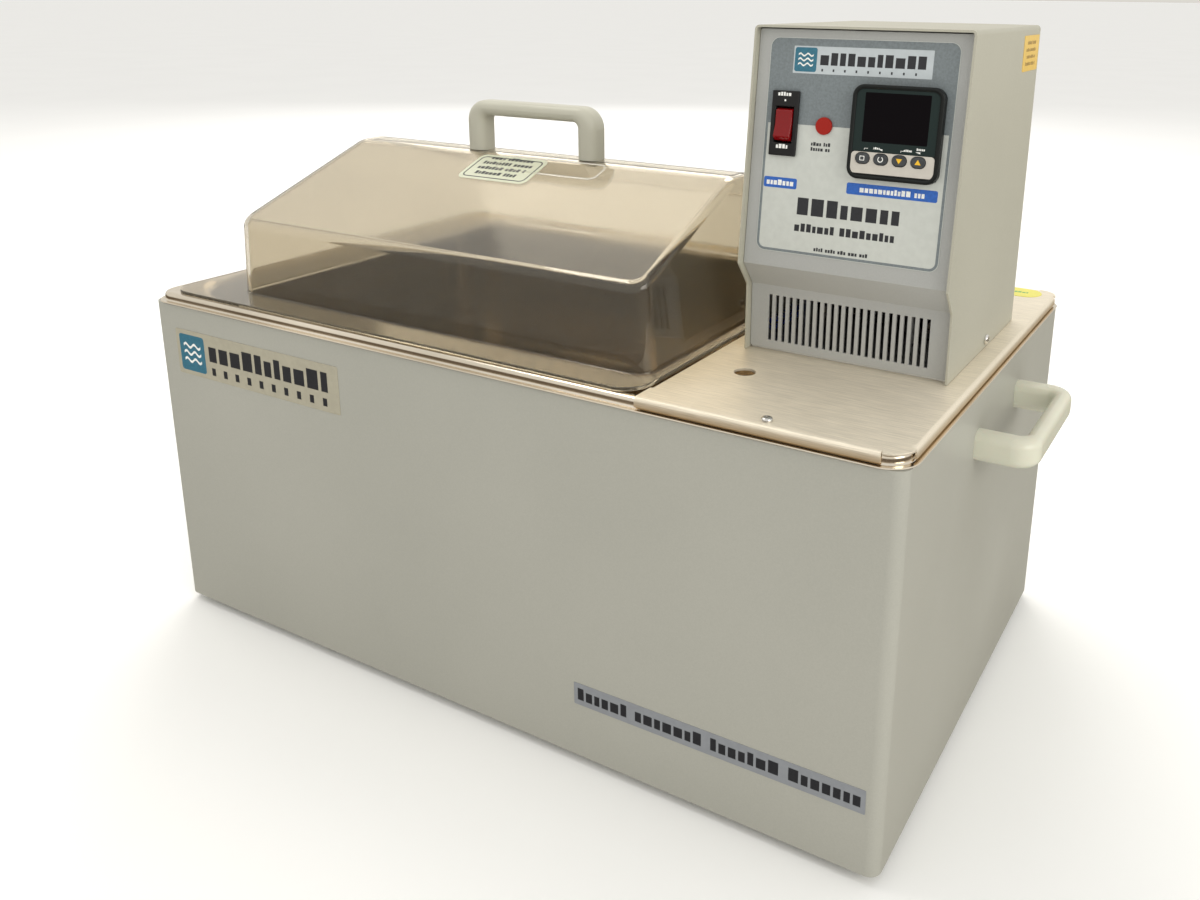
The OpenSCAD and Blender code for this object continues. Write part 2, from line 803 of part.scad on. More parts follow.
module pump_impeller() {
    vanes = 4;
    color("#bfc0c2") translate([axis_x, axis_y, shaft_low]) difference() {
        union() {
            cylinder(r = 7, h = impeller_h);
            for (i = [0 : vanes - 1]) rotate([0, 0, i * 360 / vanes + 45])
                translate([5, -0.8, 0]) cube([impeller_r - 5, 1.6, impeller_h]);
        }
        translate([0, 0, -1]) cylinder(r = shaft_r, h = impeller_h + 2);
    }
}

module pump_column() {
    window_z = 96;
    color("#c4c2bb") translate([axis_x, axis_y, 0]) difference() {
        translate([0, 0, column_low]) cylinder(r = column_r, h = deck_z - column_low);
        translate([0, 0, column_low + column_t]) cylinder(r = column_r - column_t, h = 300);
        translate([0, 0, column_low - 1]) cylinder(r = 11, h = 10);
        for (a = [45, 135]) rotate([0, 0, a])
            translate([-column_r - 5, -7, window_z]) cube([2 * column_r + 10, 14, 46]);
    }
}

// One tube: down from the head, round the pump column, and back up on the other side
module heater_coil() {
    bend = 12;
    bend_angle = bend / coil_r * 180 / PI;
    swing = coil_turns * 360 + 180 - 2 * bend_angle;
    steps = coil_turns * coil_steps;
    top = floor_z + 4;
    coil_top = coil_low + coil_pitch * coil_turns;
    down = [[0, top], for (t = [0 : 22.5 : 67.5])
        [bend_angle * (1 - cos(t)), coil_low + bend * (1 - sin(t))]];
    round = [for (i = [0 : steps])
        [bend_angle + swing * i / steps, coil_low + (coil_top - coil_low) * i / steps]];
    up = [for (t = [22.5 : 22.5 : 90])
        [bend_angle + swing + bend_angle * sin(t), coil_top + bend * (1 - cos(t))]];
    track = concat(down, round, up, [[bend_angle * 2 + swing, top]]);
    color("#8d8b86") swept_tube(
        [for (q = track) [axis_x + coil_r * cos(q[0]), axis_y + coil_r * sin(q[0]), q[1]]],
        [for (q = track) [cos(q[0]), sin(q[0]), 0]], coil_tube, 12);
}

// A stainless probe with its hexagonal gland on the floor of the head
module probe(y, low) {
    translate([probe_x, y, low]) cylinder(r = probe_r, h = floor_z + 14 - low);
    translate([probe_x, y, low]) sphere(r = probe_r);
    translate([probe_x, y, floor_z]) cylinder(r = probe_nut_r, h = probe_nut_h, $fn = 6);
}

module temperature_probe() { color("#c9cacc") probe(probe_y, probe_low); }
module over_temp_probe() { color("#c9cacc") probe(cutout_probe_y, probe_low + 20); }

// Gable outline of the lid, moved inwards by the given thickness
module gable(inset) {
    lift = inset / cos(slope);
    side = inset * tan((90 - slope) / 2);
    ridge = inset * tan(slope / 2);
    foot = lid_z - (inset > 0 ? 1 : 0);
    polygon([[-dome_y + inset, foot], [-dome_y + inset, eave_z - lift + inset * tan(slope)],
        [ridge_y0 + ridge, ridge_z - inset], [ridge_y1 - ridge, ridge_z - inset],
        [dome_y - inset, eave_z - inset * 1.02], [dome_y - inset, foot]]);
}

module lid_shell() {
    color([0.72, 0.66, 0.55, 0.5]) difference() {
        union() {
            translate([(flange_x0 + flange_x1) / 2, 0, lid_z]) linear_extrude(lid_t)
                rounded_rect(flange_x1 - flange_x0, 2 * flange_y, flange_r);
            along_x(dome_x0, dome_x1) gable(0);
        }
        along_x(dome_x0 + lid_t, dome_x1 - lid_t) gable(lid_t);
        lid_screw_places() translate([0, 0, -10]) cylinder(r = grip_screw_r + 0.2, h = 20);
    }
}

// The two screws of the lid handle, at the height of the ridge
module lid_screw_places() {
    for (s = [-1, 1]) translate([lid_grip_x + s * grip_pitch / 2, ridge_y, ridge_z]) children();
}

module lid_handle() {
    color("#c9c6b6") translate([lid_grip_x, ridge_y, ridge_z]) bridge_grip();
}

module lid_handle_screws() {
    color("#c8c8c8") lid_screw_places() translate([0, 0, -lid_t]) mirror([0, 0, 1])
        pan_screw(4, 2.4, grip_screw_r, screw_depth);
}

module lid_label() {
    color("#e7e6d2") translate([tag_x, -dome_y, eave_z]) rotate([slope, 0, 0])
        translate([0, tag_s, 0]) linear_extrude(label_t) rounded_rect(tag_l, tag_w, 5);
}

rubber_feet();
foot_screws();
base_plate();
base_screws();
outer_case();
insulation_walls();
insulation_base();
bath_tank();
left_carry_handle();
right_carry_handle();
carry_handle_screws();
bridge_plate();
bridge_plate_screws();
case_badge();
case_strip();
plate_sticker();
head_base();
head_front_panel();
head_rear_panel();
head_cover();
cover_screws();
front_label();
side_sticker();
controller();
controller_window();
keypad_plate();
page_button();
scroll_button();
down_button();
up_button();
switch_frame();
switch_rocker();
over_temp_lamp();
mains_inlet();
inlet_pins();
inlet_screws();
terminal_block();
wiring_loom();
board_bracket();
control_board();
relay();
motor_mount();
motor();
shaft_seal();
drive_shaft();
cooling_fan();
pump_impeller();
pump_column();
heater_coil();
temperature_probe();
over_temp_probe();
lid_shell();
lid_handle();
lid_handle_screws();
lid_label();
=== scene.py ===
"""Looks of the laboratory water bath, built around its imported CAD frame.

The frame is in metres. Most sizes here are in millimetres, and become metres times mm.
"""

import json
import math
import random

import bmesh
import bpy
from mathutils import Matrix, Vector

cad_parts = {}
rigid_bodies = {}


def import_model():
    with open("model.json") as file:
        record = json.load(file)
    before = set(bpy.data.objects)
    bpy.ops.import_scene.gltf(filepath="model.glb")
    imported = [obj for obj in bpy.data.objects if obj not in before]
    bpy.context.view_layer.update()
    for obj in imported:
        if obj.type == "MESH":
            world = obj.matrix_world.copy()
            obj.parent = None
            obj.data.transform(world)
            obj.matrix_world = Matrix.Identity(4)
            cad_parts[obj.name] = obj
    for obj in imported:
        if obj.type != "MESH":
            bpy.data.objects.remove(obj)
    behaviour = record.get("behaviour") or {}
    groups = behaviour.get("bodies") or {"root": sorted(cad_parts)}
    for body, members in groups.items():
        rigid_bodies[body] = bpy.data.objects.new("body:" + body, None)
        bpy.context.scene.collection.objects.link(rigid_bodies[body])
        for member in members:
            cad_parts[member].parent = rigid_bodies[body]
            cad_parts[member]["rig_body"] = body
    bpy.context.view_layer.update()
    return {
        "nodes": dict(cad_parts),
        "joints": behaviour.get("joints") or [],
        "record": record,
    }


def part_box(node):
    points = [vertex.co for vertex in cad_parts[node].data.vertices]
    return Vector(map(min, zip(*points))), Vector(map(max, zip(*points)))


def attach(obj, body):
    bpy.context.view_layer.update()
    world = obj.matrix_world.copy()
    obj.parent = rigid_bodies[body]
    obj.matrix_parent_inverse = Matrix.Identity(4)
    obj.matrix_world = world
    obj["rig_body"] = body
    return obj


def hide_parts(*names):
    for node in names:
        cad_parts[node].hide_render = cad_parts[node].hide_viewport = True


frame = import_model()
nodes = frame["nodes"]
mm = 0.001
X, Y, Z = Vector((1, 0, 0)), Vector((0, 1, 0)), Vector((0, 0, 1))


def new_object(name, data):
    made = bpy.data.objects.new(name, data)
    bpy.context.scene.collection.objects.link(made)
    return made


# ---------------------------------------------------------------- camera, floor and light

def add_camera():
    """The photograph's view, by its angles in degrees, with the lens shifted as it was framed."""
    azimuth, elevation, roll = (math.radians(a) for a in (29.81, 15.93, 0.67))
    place = Vector((0.3936, -0.5919, 0.4323))
    forward = Vector((
        -math.sin(azimuth) * math.cos(elevation),
        math.cos(azimuth) * math.cos(elevation),
        -math.sin(elevation),
    ))
    level = Vector((math.cos(azimuth), math.sin(azimuth), 0))
    upright = level.cross(forward)
    right = math.cos(roll) * level + math.sin(roll) * upright
    up = math.cos(roll) * upright - math.sin(roll) * level
    data = bpy.data.cameras.new("camera")
    data.lens, data.sensor_width = 32.15, 36
    data.shift_x, data.shift_y = -0.0667, -0.125
    camera = new_object("camera", data)
    turn = Matrix((right, up, -forward)).transposed().to_4x4()
    camera.matrix_world = Matrix.Translation(place) @ turn
    bpy.context.scene.camera = camera


def add_light(name, place, aim, size, watts, colour, mirrored=True):
    """A soft rectangular lamp. One that isn't mirrored gives light but shows in no reflection."""
    data = bpy.data.lights.new(name, "AREA")
    data.shape, data.size, data.size_y = "RECTANGLE", size[0], size[1]
    data.energy, data.color = watts, colour
    light = new_object(name, data)
    light.location = place
    light.visible_glossy = mirrored
    light.rotation_euler = (Vector(aim) - Vector(place)).to_track_quat("-Z", "Y").to_euler()


def add_studio():
    """A pale floor, a soft sky that is warmer and darker below the horizon, and large soft lights."""
    floor_size, sky_strength = 400, 0.86
    sky = [(0, (0.10, 0.075, 0.05)), (0.46, (0.20, 0.155, 0.11)), (0.505, (0.92, 0.89, 0.83)),
           (0.6, (1, 0.965, 0.89)), (1, (1, 1, 0.98))]
    bpy.ops.mesh.primitive_plane_add(size=floor_size, location=(0, 0, 0))
    floor = bpy.context.object
    floor.name = "studio_floor"
    floor.visible_glossy = False
    floor.data.materials.append(floor_material())
    add_light("key", (-0.7, 1.1, 2.1), (0.05, 0, 0.2), (1.6, 1.2), 16, (1, 0.96, 0.88), False)
    add_light("fill", (2.9, -1.0, 1.4), (0.05, 0, 0.15), (1.8, 1.6), 32, (1, 0.985, 0.92))
    add_light("left", (-1.1, -0.25, 2.2), (0, -0.1, 0.25), (0.9, 0.35), 7, (1, 0.95, 0.86))
    add_light("back", (-1.7, 2.6, 1.5), (0, 0, 0.15), (1.8, 1.6), 20, (1, 0.98, 0.94), False)
    world = bpy.data.worlds.new("studio")
    world.use_nodes = True
    bpy.context.scene.world = world
    tree = world.node_tree
    place = tree.nodes.new("ShaderNodeTexCoord")
    split = tree.nodes.new("ShaderNodeSeparateXYZ")
    ramp = tree.nodes.new("ShaderNodeValToRGB")
    height = tree.nodes.new("ShaderNodeMapRange")
    height.inputs["From Min"].default_value = -1
    tree.links.new(place.outputs["Generated"], split.inputs[0])
    tree.links.new(split.outputs["Z"], height.inputs["Value"])
    tree.links.new(height.outputs[0], ramp.inputs[0])
    set_ramp(ramp, sky)
    background = tree.nodes["Background"]
    tree.links.new(ramp.outputs[0], background.inputs["Color"])
    background.inputs["Strength"].default_value = sky_strength
    bpy.context.scene.view_settings.view_transform = "Standard"


# ---------------------------------------------------------------- materials

def set_ramp(ramp, stops):
    band = ramp.color_ramp
    while len(band.elements) > 1:
        band.elements.remove(band.elements[-1])
    for i, (at, colour) in enumerate(stops):
        stop = band.elements[0] if i == 0 else band.elements.new(at)
        stop.position, stop.color = at, (*colour, 1)


NOISE_SPAN = (0.3, 0.7)


class Finish:
    """A node material built up in steps on one Principled shader, placed by the frame's own coordinates."""

    def __init__(self, name, colour, roughness, metallic=0.0, **sockets):
        self.material = bpy.data.materials.new(name)
        self.material.use_nodes = True
        self.tree = self.material.node_tree
        self.shader = self.tree.nodes["Principled BSDF"]
        self.colour = colour
        self.shader.inputs["Base Color"].default_value = (*colour, 1)
        self.shader.inputs["Roughness"].default_value = roughness
        self.shader.inputs["Metallic"].default_value = metallic
        for socket, value in sockets.items():
            self.shader.inputs[socket.replace("_", " ")].default_value = value
        self.place = self.tree.nodes.new("ShaderNodeTexCoord").outputs["Object"]
        self.colour_out = None
        self.height_out = None

    def node(self, kind, **values):
        made = self.tree.nodes.new(kind)
        for key, value in values.items():
            setattr(made, key, value)
        return made

    def noise(self, scale, detail=2.0, stretch=(1, 1, 1), kind="ShaderNodeTexNoise"):
        """A noise of so many cells to the metre, stretched along the axes, as a value from 0 to 1."""
        mapping = self.node("ShaderNodeMapping")
        mapping.inputs["Scale"].default_value = stretch
        texture = self.node(kind)
        texture.inputs["Scale"].default_value = scale
        if "Detail" in texture.inputs:
            texture.inputs["Detail"].default_value = detail
        self.tree.links.new(self.place, mapping.inputs["Vector"])
        self.tree.links.new(mapping.outputs[0], texture.inputs["Vector"])
        return texture.outputs[0]

    def along(self, axis):
        """The surface's own place along an axis, in metres."""
        split = self.node("ShaderNodeSeparateXYZ")
        self.tree.links.new(self.place, split.inputs[0])
        return split.outputs[axis]

    def tint(self, value, low, high, amount_from=0.35, amount_to=0.65):
        """Colours the surface between low and high times its own colour, by a value."""
        ramp = self.node("ShaderNodeValToRGB")
        set_ramp(ramp, [(amount_from, low), (amount_to, high)])
        self.tree.links.new(value, ramp.inputs[0])
        mix = self.node("ShaderNodeMix", data_type="RGBA", blend_type="MULTIPLY")
        mix.inputs["Factor"].default_value = 1
        if self.colour_out is None:
            mix.inputs["A"].default_value = (*self.colour, 1)
        else:
            self.tree.links.new(self.colour_out, mix.inputs["A"])
        self.tree.links.new(ramp.outputs[0], mix.inputs["B"])
        self.colour_out = mix.outputs["Result"]
        self.tree.links.new(self.colour_out, self.shader.inputs["Base Color"])
        return self

    def gloss(self, value, low, high):
        """Roughness between low and high, by a noise, whose values lie mostly within NOISE_SPAN."""
        span = self.node("ShaderNodeMapRange")
        span.inputs["From Min"].default_value, span.inputs["From Max"].default_value = NOISE_SPAN
        span.inputs["To Min"].default_value = low
        span.inputs["To Max"].default_value = high
        self.tree.links.new(value, span.inputs["Value"])
        self.tree.links.new(span.outputs[0], self.shader.inputs["Roughness"])
        return self

    def bump(self, value, depth, strength):
        """Raises the surface by a value, so many metres high."""
        bump = self.node("ShaderNodeBump")
        bump.inputs["Strength"].default_value = strength
        bump.inputs["Distance"].default_value = depth
        self.tree.links.new(value, bump.inputs["Height"])
        if self.height_out is not None:
            self.tree.links.new(self.height_out, bump.inputs["Normal"])
        self.height_out = bump.outputs[0]
        self.tree.links.new(self.height_out, self.shader.inputs["Normal"])
        return self

    def speckle(self, scale, low, high):
        """Fine variation of the colour."""
        return self.tint(self.noise(scale, 4), (low,) * 3, (high,) * 3)


def floor_material():
    finish = Finish("floor_paper", (0.97, 0.972, 0.975), 0.9)
    finish.speckle(3, 0.985, 1.0)
    return finish.material


def powder_coat(name, colour, roughness):
    """Satin powder coat: a fine orange peel, and faint wide clouds in colour and gloss."""
    finish = Finish(name, colour, roughness)
    finish.tint(finish.noise(5, 3), (0.965, 0.965, 0.96), (1.02, 1.015, 1.01))
    finish.speckle(1400, 0.97, 1.02)
    finish.gloss(finish.noise(9, 4), roughness - 0.05, roughness + 0.06)
    finish.bump(finish.noise(620, 3), 0.00009, 0.55)
    return finish.material


def brushed_steel(name, colour, roughness, metallic):
    """Brushed sheet: long grain along X in colour, gloss and height, and a painted brown reflection, with
    some dirt, on its down-turned edges.
    """
    fold_low, fold_top = 0.2325, 0.2345
    finish = Finish(name, colour, roughness, metallic)
    grain = finish.noise(38, 6, (2, 80, 80))
    finish.tint(grain, (0.84, 0.83, 0.81), (1.06, 1.05, 1.04))
    finish.tint(finish.noise(7, 3), (0.95, 0.945, 0.93), (1.02, 1.02, 1.02))
    # Painted reflection: the folds below the deck are tinted brown for the brown surroundings they mirror,
    # with some dirt.
    finish.tint(finish.along("Z"), (0.66, 0.53, 0.36), (1, 1, 1), fold_low, fold_top)
    finish.gloss(grain, roughness - 0.07, roughness + 0.09)
    finish.bump(grain, 0.000025, 0.6)
    return finish.material


def drawn_steel(name, colour, roughness):
    """Pressed tank steel: soft draw marks and water stains, and painted shade that darkens it low down in the
    bath and fades out at the rim.
    """
    painted_shade_full_below, painted_shade_ends_at = 0.19, 0.232
    finish = Finish(name, colour, roughness, 1.0)
    marks = finish.noise(14, 5, (1, 1, 9))
    finish.tint(finish.noise(11, 5), (0.86, 0.85, 0.82), (1.05, 1.04, 1.02))
    finish.gloss(marks, roughness - 0.05, roughness + 0.1)
    # Painted shade: the steel is darkened towards the bottom of the bath, where the deep tank lies in shade,
    # and keeps its own colour at the rim.
    finish.tint(finish.along("Z"), (0.62, 0.58, 0.52), (1, 1, 1), painted_shade_full_below, painted_shade_ends_at)
    finish.bump(finish.noise(4.5, 2), 0.0012, 0.4)
    finish.bump(marks, 0.00006, 0.5)
    return finish.material


def moulded(name, colour, roughness, **sockets):
    """Moulded plastic: a very fine grain and a little unevenness of gloss."""
    finish = Finish(name, colour, roughness, **sockets)
    finish.tint(finish.noise(30, 3), (0.975, 0.975, 0.97), (1.02, 1.02, 1.02))
    finish.gloss(finish.noise(25, 3), roughness - 0.02, roughness + 0.04)
    finish.bump(finish.noise(1100, 3), 0.00004, 0.5)
    return finish.material


def plated(name, colour, roughness):
    """Plated or ground metal, a little cloudy in colour and gloss."""
    finish = Finish(name, colour, roughness, 1.0)
    finish.tint(finish.noise(220, 4), (0.82, 0.82, 0.82), (1.05, 1.05, 1.05))
    finish.gloss(finish.noise(400, 4), roughness - 0.05, roughness + 0.08)
    return finish.material


def zinc_sheet(name):
    """Zinc plate with its patches of crystals."""
    finish = Finish(name, (0.62, 0.63, 0.63), 0.36, 1.0)
    cells = finish.noise(85, 2, kind="ShaderNodeTexVoronoi")
    finish.tint(cells, (0.86, 0.87, 0.88), (1.05, 1.05, 1.05), 0.1, 0.8)
    finish.gloss(cells, 0.3, 0.46)
    return finish.material


def film(name, colour, roughness=0.3):
    """Printed label film: a faint mottle, and a lacquer over it."""
    finish = Finish(name, colour, roughness, Coat_Weight=0.25, Coat_Roughness=0.15)
    finish.speckle(260, 0.96, 1.02)
    finish.bump(finish.noise(900, 2), 0.00002, 0.4)
    return finish.material


def ink(name, colour):
    """Screen-printed ink, slightly uneven."""
    finish = Finish(name, colour, 0.42)
    finish.speckle(900, 0.88, 1.08)
    finish.bump(finish.noise(1500, 2), 0.00001, 0.5)
    return finish.material


def clear_plastic(name, colour, lamp_colour, roughness, clear_part):
    """Clear tinted sheet. The lamps shine through it in lamp_colour, so that what is inside is lit."""
    finish = Finish(name, colour, roughness, Transmission_Weight=clear_part, IOR=1.47)
    finish.bump(finish.noise(16, 2), 0.0012, 0.13)
    finish.gloss(finish.noise(26, 3), roughness, roughness + 0.05)
    tree = finish.tree
    path = finish.node("ShaderNodeLightPath")
    clear = finish.node("ShaderNodeBsdfTransparent")
    clear.inputs["Color"].default_value = (*lamp_colour, 1)
    mix = finish.node("ShaderNodeMixShader")
    tree.links.new(path.outputs["Is Shadow Ray"], mix.inputs["Fac"])
    tree.links.new(finish.shader.outputs[0], mix.inputs[1])
    tree.links.new(clear.outputs[0], mix.inputs[2])
    tree.links.new(mix.outputs[0], tree.nodes["Material Output"].inputs["Surface"])
    return finish.material


def mineral_wool():
    """Yellow insulation with its layers of fibre."""
    finish = Finish("mineral_wool", (0.62, 0.5, 0.24), 0.95, Sheen_Weight=0.3)
    fibre = finish.noise(120, 8, (1, 1, 6))
    finish.tint(fibre, (0.7, 0.66, 0.6), (1.15, 1.1, 1.05))
    finish.bump(fibre, 0.002, 0.8)
    return finish.material


def rubber(name, colour):
    finish = Finish(name, colour, 0.75)
    finish.speckle(500, 0.8, 1.2)
    finish.bump(finish.noise(1300, 3), 0.00008, 0.6)
    return finish.material


def circuit_board():
    finish = Finish("circuit_board", (0.02, 0.13, 0.06), 0.35, Coat_Weight=0.4)
    tracks = finish.noise(260, 0, kind="ShaderNodeTexVoronoi")
    finish.tint(tracks, (0.7, 0.75, 0.7), (1.5, 1.7, 1.3), 0.2, 0.5)
    finish.bump(tracks, 0.00005, 0.6)
    return finish.material


def heat_tinted():
    """Heater sheath: matt grey with straw and brown heat colours low down."""
    finish = Finish("heat_tinted", (0.5, 0.47, 0.42), 0.38, 1.0)
    finish.tint(finish.noise(26, 4), (0.72, 0.6, 0.45), (1.05, 1.02, 1.0))
    finish.gloss(finish.noise(180, 4), 0.3, 0.5)
    return finish.material


PAINT = powder_coat("case_paint", (0.405, 0.404, 0.36), 0.42)
COVER = powder_coat("cover_paint", (0.43, 0.42, 0.35), 0.45)
PANEL = powder_coat("panel_paint", (0.41, 0.42, 0.415), 0.40)
# The tank and column steel carry painted shade low down; the deck steel carries a painted brown reflection,
# with some dirt, on its folds.
TANK = drawn_steel("tank_steel", (0.82, 0.75, 0.65), 0.16)
DECK = brushed_steel("deck_steel", (0.93, 0.865, 0.74), 0.48, 0.6)
CREAM = moulded("cream_plastic", (0.66, 0.655, 0.545), 0.24, Subsurface_Weight=0.08, Subsurface_Scale=0.004)
SCREW = plated("screw_plating", (0.8, 0.79, 0.76), 0.2)
ZINC = zinc_sheet("zinc_sheet")
WOOL = mineral_wool()
BLACK = moulded("black_plastic", (0.012, 0.012, 0.013), 0.34, Specular_IOR_Level=0.3)
BEZEL = moulded("bezel_plastic", (0.01, 0.012, 0.012), 0.42, Specular_IOR_Level=0.22)
BEZEL_FACE = moulded("bezel_face", (0.014, 0.026, 0.025), 0.4, Specular_IOR_Level=0.2)
SHAFT = plated("ground_steel", (0.74, 0.74, 0.73), 0.22)
DARK_INK = ink("dark_ink", (0.022, 0.024, 0.03))
WHITE_INK = ink("white_ink", (0.85, 0.86, 0.84))
BLUE_INK = ink("blue_ink", (0.02, 0.12, 0.5))
GREY_INK = ink("grey_ink", (0.185, 0.215, 0.23))
TEAL_INK = ink("teal_ink", (0.03, 0.16, 0.24))
AMBER_INK = ink("amber_ink", (0.85, 0.5, 0.02))
BROWN_INK = ink("brown_ink", (0.32, 0.2, 0.05))
GREEN_INK = ink("green_ink", (0.08, 0.35, 0.12))
WHITE_FILM = film("white_film", (0.56, 0.585, 0.555))
BADGE_FILM = film("badge_film", (0.42, 0.395, 0.31), 0.25)
STRIP_FILM = film("strip_film", (0.27, 0.285, 0.31))
PLAQUE_FILM = film("plaque_film", (0.5, 0.55, 0.58))
YELLOW_FILM = film("yellow_film", (0.78, 0.52, 0.1), 0.35)
LEMON_FILM = film("lemon_film", (0.76, 0.7, 0.08), 0.35)
LABEL_FILM = film("lid_label_film", (0.70, 0.72, 0.56))
KEY_FILM = film("key_film", (0.56, 0.53, 0.48))
LID = clear_plastic("lid_plastic", (0.70, 0.65, 0.55), (0.71, 0.66, 0.56), 0.03, 0.965)
CLEAR = clear_plastic("clear_plate", (0.95, 0.93, 0.88), (0.92, 0.9, 0.84), 0.1, 0.75)
GLASS = moulded("display_glass", (0.003, 0.002, 0.003), 0.12, Specular_IOR_Level=0.06)
ROCKER = moulded("rocker_red", (0.2, 0.002, 0.004), 0.16, Coat_Weight=0.2, Coat_Roughness=0.05,
                 Specular_IOR_Level=0.3)
LAMP = moulded("lamp_red", (0.33, 0.012, 0.006), 0.4, Specular_IOR_Level=0.25)

BY_NODE = {
    "rubber_feet": rubber("foot_rubber", (0.025, 0.025, 0.026)),
    "base_plate": ZINC, "head_base": ZINC, "board_bracket": ZINC, "motor_mount": ZINC,
    "outer_case": PAINT, "head_cover": COVER, "head_front_panel": PANEL, "head_rear_panel": PANEL,
    "insulation_walls": WOOL, "insulation_base": WOOL, "bath_tank": TANK, "bridge_plate": DECK,
    "pump_column": drawn_steel("column_steel", (0.8, 0.76, 0.7), 0.22),
    "left_carry_handle": CREAM, "right_carry_handle": CREAM,
    "lid_handle": moulded("lid_handle_plastic", (0.52, 0.51, 0.43), 0.3),
    "case_badge": BADGE_FILM, "case_strip": STRIP_FILM, "plate_sticker": LEMON_FILM,
    "side_sticker": YELLOW_FILM, "front_label": WHITE_FILM, "lid_label": LABEL_FILM,
    "controller": BEZEL, "controller_window": GLASS, "keypad_plate": KEY_FILM,
    "switch_frame": BLACK, "switch_rocker": ROCKER, "over_temp_lamp": LAMP,
    "mains_inlet": BLACK, "inlet_pins": plated("pin_brass", (0.75, 0.55, 0.22), 0.25),
    "terminal_block": moulded("terminal_ivory", (0.72, 0.68, 0.55), 0.4),
    "wiring_loom": moulded("wire_blue", (0.01, 0.05, 0.55), 0.35), "control_board": circuit_board(),
    "relay": moulded("relay_blue", (0.02, 0.035, 0.07), 0.35),
    "motor": powder_coat("motor_paint", (0.06, 0.065, 0.07), 0.5),
    "shaft_seal": rubber("seal_rubber", (0.02, 0.02, 0.02)), "drive_shaft": SHAFT,
    "cooling_fan": moulded("fan_plastic", (0.03, 0.03, 0.033), 0.45), "pump_impeller": SHAFT,
    "heater_coil": heat_tinted(), "temperature_probe": SHAFT, "over_temp_probe": SHAFT,
    "lid_shell": LID,
}
for name in nodes:
    if name.endswith("_screws"):
        BY_NODE[name] = SCREW
    if name.endswith("_button"):
        BY_NODE[name] = rubber("key_" + name, (0.05, 0.055, 0.06))


# ---------------------------------------------------------------- making pieces

SHARP_EDGE = math.radians(30)


def add_piece(name, mesh, material, like, replaces=()):
    """Links a mesh as a piece that rides on the body of the CAD node like, and takes its slot."""
    piece = new_object(name, mesh)
    mesh.materials.clear()
    mesh.materials.append(material)
    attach(piece, nodes[like]["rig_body"])
    if replaces:
        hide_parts(*replaces)
    return piece


def smooth(mesh, angle=35):
    mesh.shade_smooth()
    mesh.set_sharp_from_angle(angle=math.radians(angle))
    return mesh


def to_mesh(name, bm, angle=35):
    bmesh.ops.recalc_face_normals(bm, faces=bm.faces)
    mesh = bpy.data.meshes.new(name)
    bm.to_mesh(mesh)
    bm.free()
    return smooth(mesh, angle)


def weight_normals(piece):
    """Keeps flat faces flat beside rounded edges."""
    piece.modifiers.new("flat faces", "WEIGHTED_NORMAL").keep_sharp = True


def node_bmesh(node):
    """The node's shape with shared corners and whole flat faces."""
    bm = bmesh.new()
    bm.from_mesh(nodes[node].data)
    bmesh.ops.remove_doubles(bm, verts=bm.verts, dist=0.002 * mm)
    bmesh.ops.dissolve_limit(bm, angle_limit=math.radians(0.5), verts=bm.verts, edges=bm.edges)
    return bm


def edge_key(edge):
    """An edge's two corners, rounded, so that the same edge is found after others are bevelled."""
    return frozenset(tuple(round(c, 7) for c in vert.co) for vert in edge.verts)


def soften(node, rules):
    """Stands a copy of the node in its place with rounded edges. A rule is a width in mm, a number of
    segments and a test of an edge's middle and direction. An edge takes the first rule that fits it."""
    bm = node_bmesh(node)
    chosen = [set() for _ in rules]
    for edge in bm.edges:
        if len(edge.link_faces) != 2 or edge.calc_face_angle() <= SHARP_EDGE:
            continue
        start, end = (vert.co for vert in edge.verts)
        for keys, (_, _, test) in zip(chosen, rules):
            if test((start + end) / 2, (end - start).normalized()):
                keys.add(edge_key(edge))
                break
    for keys, (width, segments, _) in zip(chosen, rules):
        bmesh.ops.bevel(bm, geom=[edge for edge in bm.edges if edge_key(edge) in keys], offset=width * mm,
                        segments=segments, profile=0.5, affect="EDGES", clamp_overlap=True, loop_slide=True)
    name = node + "_soft"
    weight_normals(add_piece(name, to_mesh(name, bm), BY_NODE[node], node, (node,)))


def always(_middle, _way):
    return True


class Face:
    """A flat film or panel: its own corner, the way along it, the way up it and the way out of it."""

    def __init__(self, node, out, along):
        points = [v.co for v in nodes[node].data.vertices]
        widest = max(nodes[node].data.polygons, key=lambda p: p.area if p.normal.dot(out) > 0.8 else 0)
        self.out = widest.normal.copy()
        self.along = (along - self.out * along.dot(self.out)).normalized()
        self.up = self.out.cross(self.along)
        low_u = min(p.dot(self.along) for p in points)
        low_v = min(p.dot(self.up) for p in points)
        self.width = (max(p.dot(self.along) for p in points) - low_u) / mm
        self.height = (max(p.dot(self.up) for p in points) - low_v) / mm
        top = max(p.dot(self.out) for p in points)
        self.corner = self.along * low_u + self.up * low_v + self.out * top
        self.node = node

    def place_of(self, other):
        """Where another face's corner lies on this one, in mm."""
        offset = other.corner - self.corner
        return offset.dot(self.along) / mm, offset.dot(self.up) / mm

    def matrix(self, lift):
        turn = Matrix((self.along, self.up, self.out)).transposed().to_4x4()
        return Matrix.Translation(self.corner + self.out * lift * mm) @ turn


def arc(u, v, r, start, end, steps):
    """Points on a circle of radius r round (u, v), between two angles in degrees."""
    return [(u + r * math.cos(math.radians(start + (end - start) * i / steps)),
             v + r * math.sin(math.radians(start + (end - start) * i / steps))) for i in range(steps + 1)]


def quarter(steps):
    """Angles over a quarter turn."""
    return [math.pi / 2 * k / steps for k in range(steps + 1)]


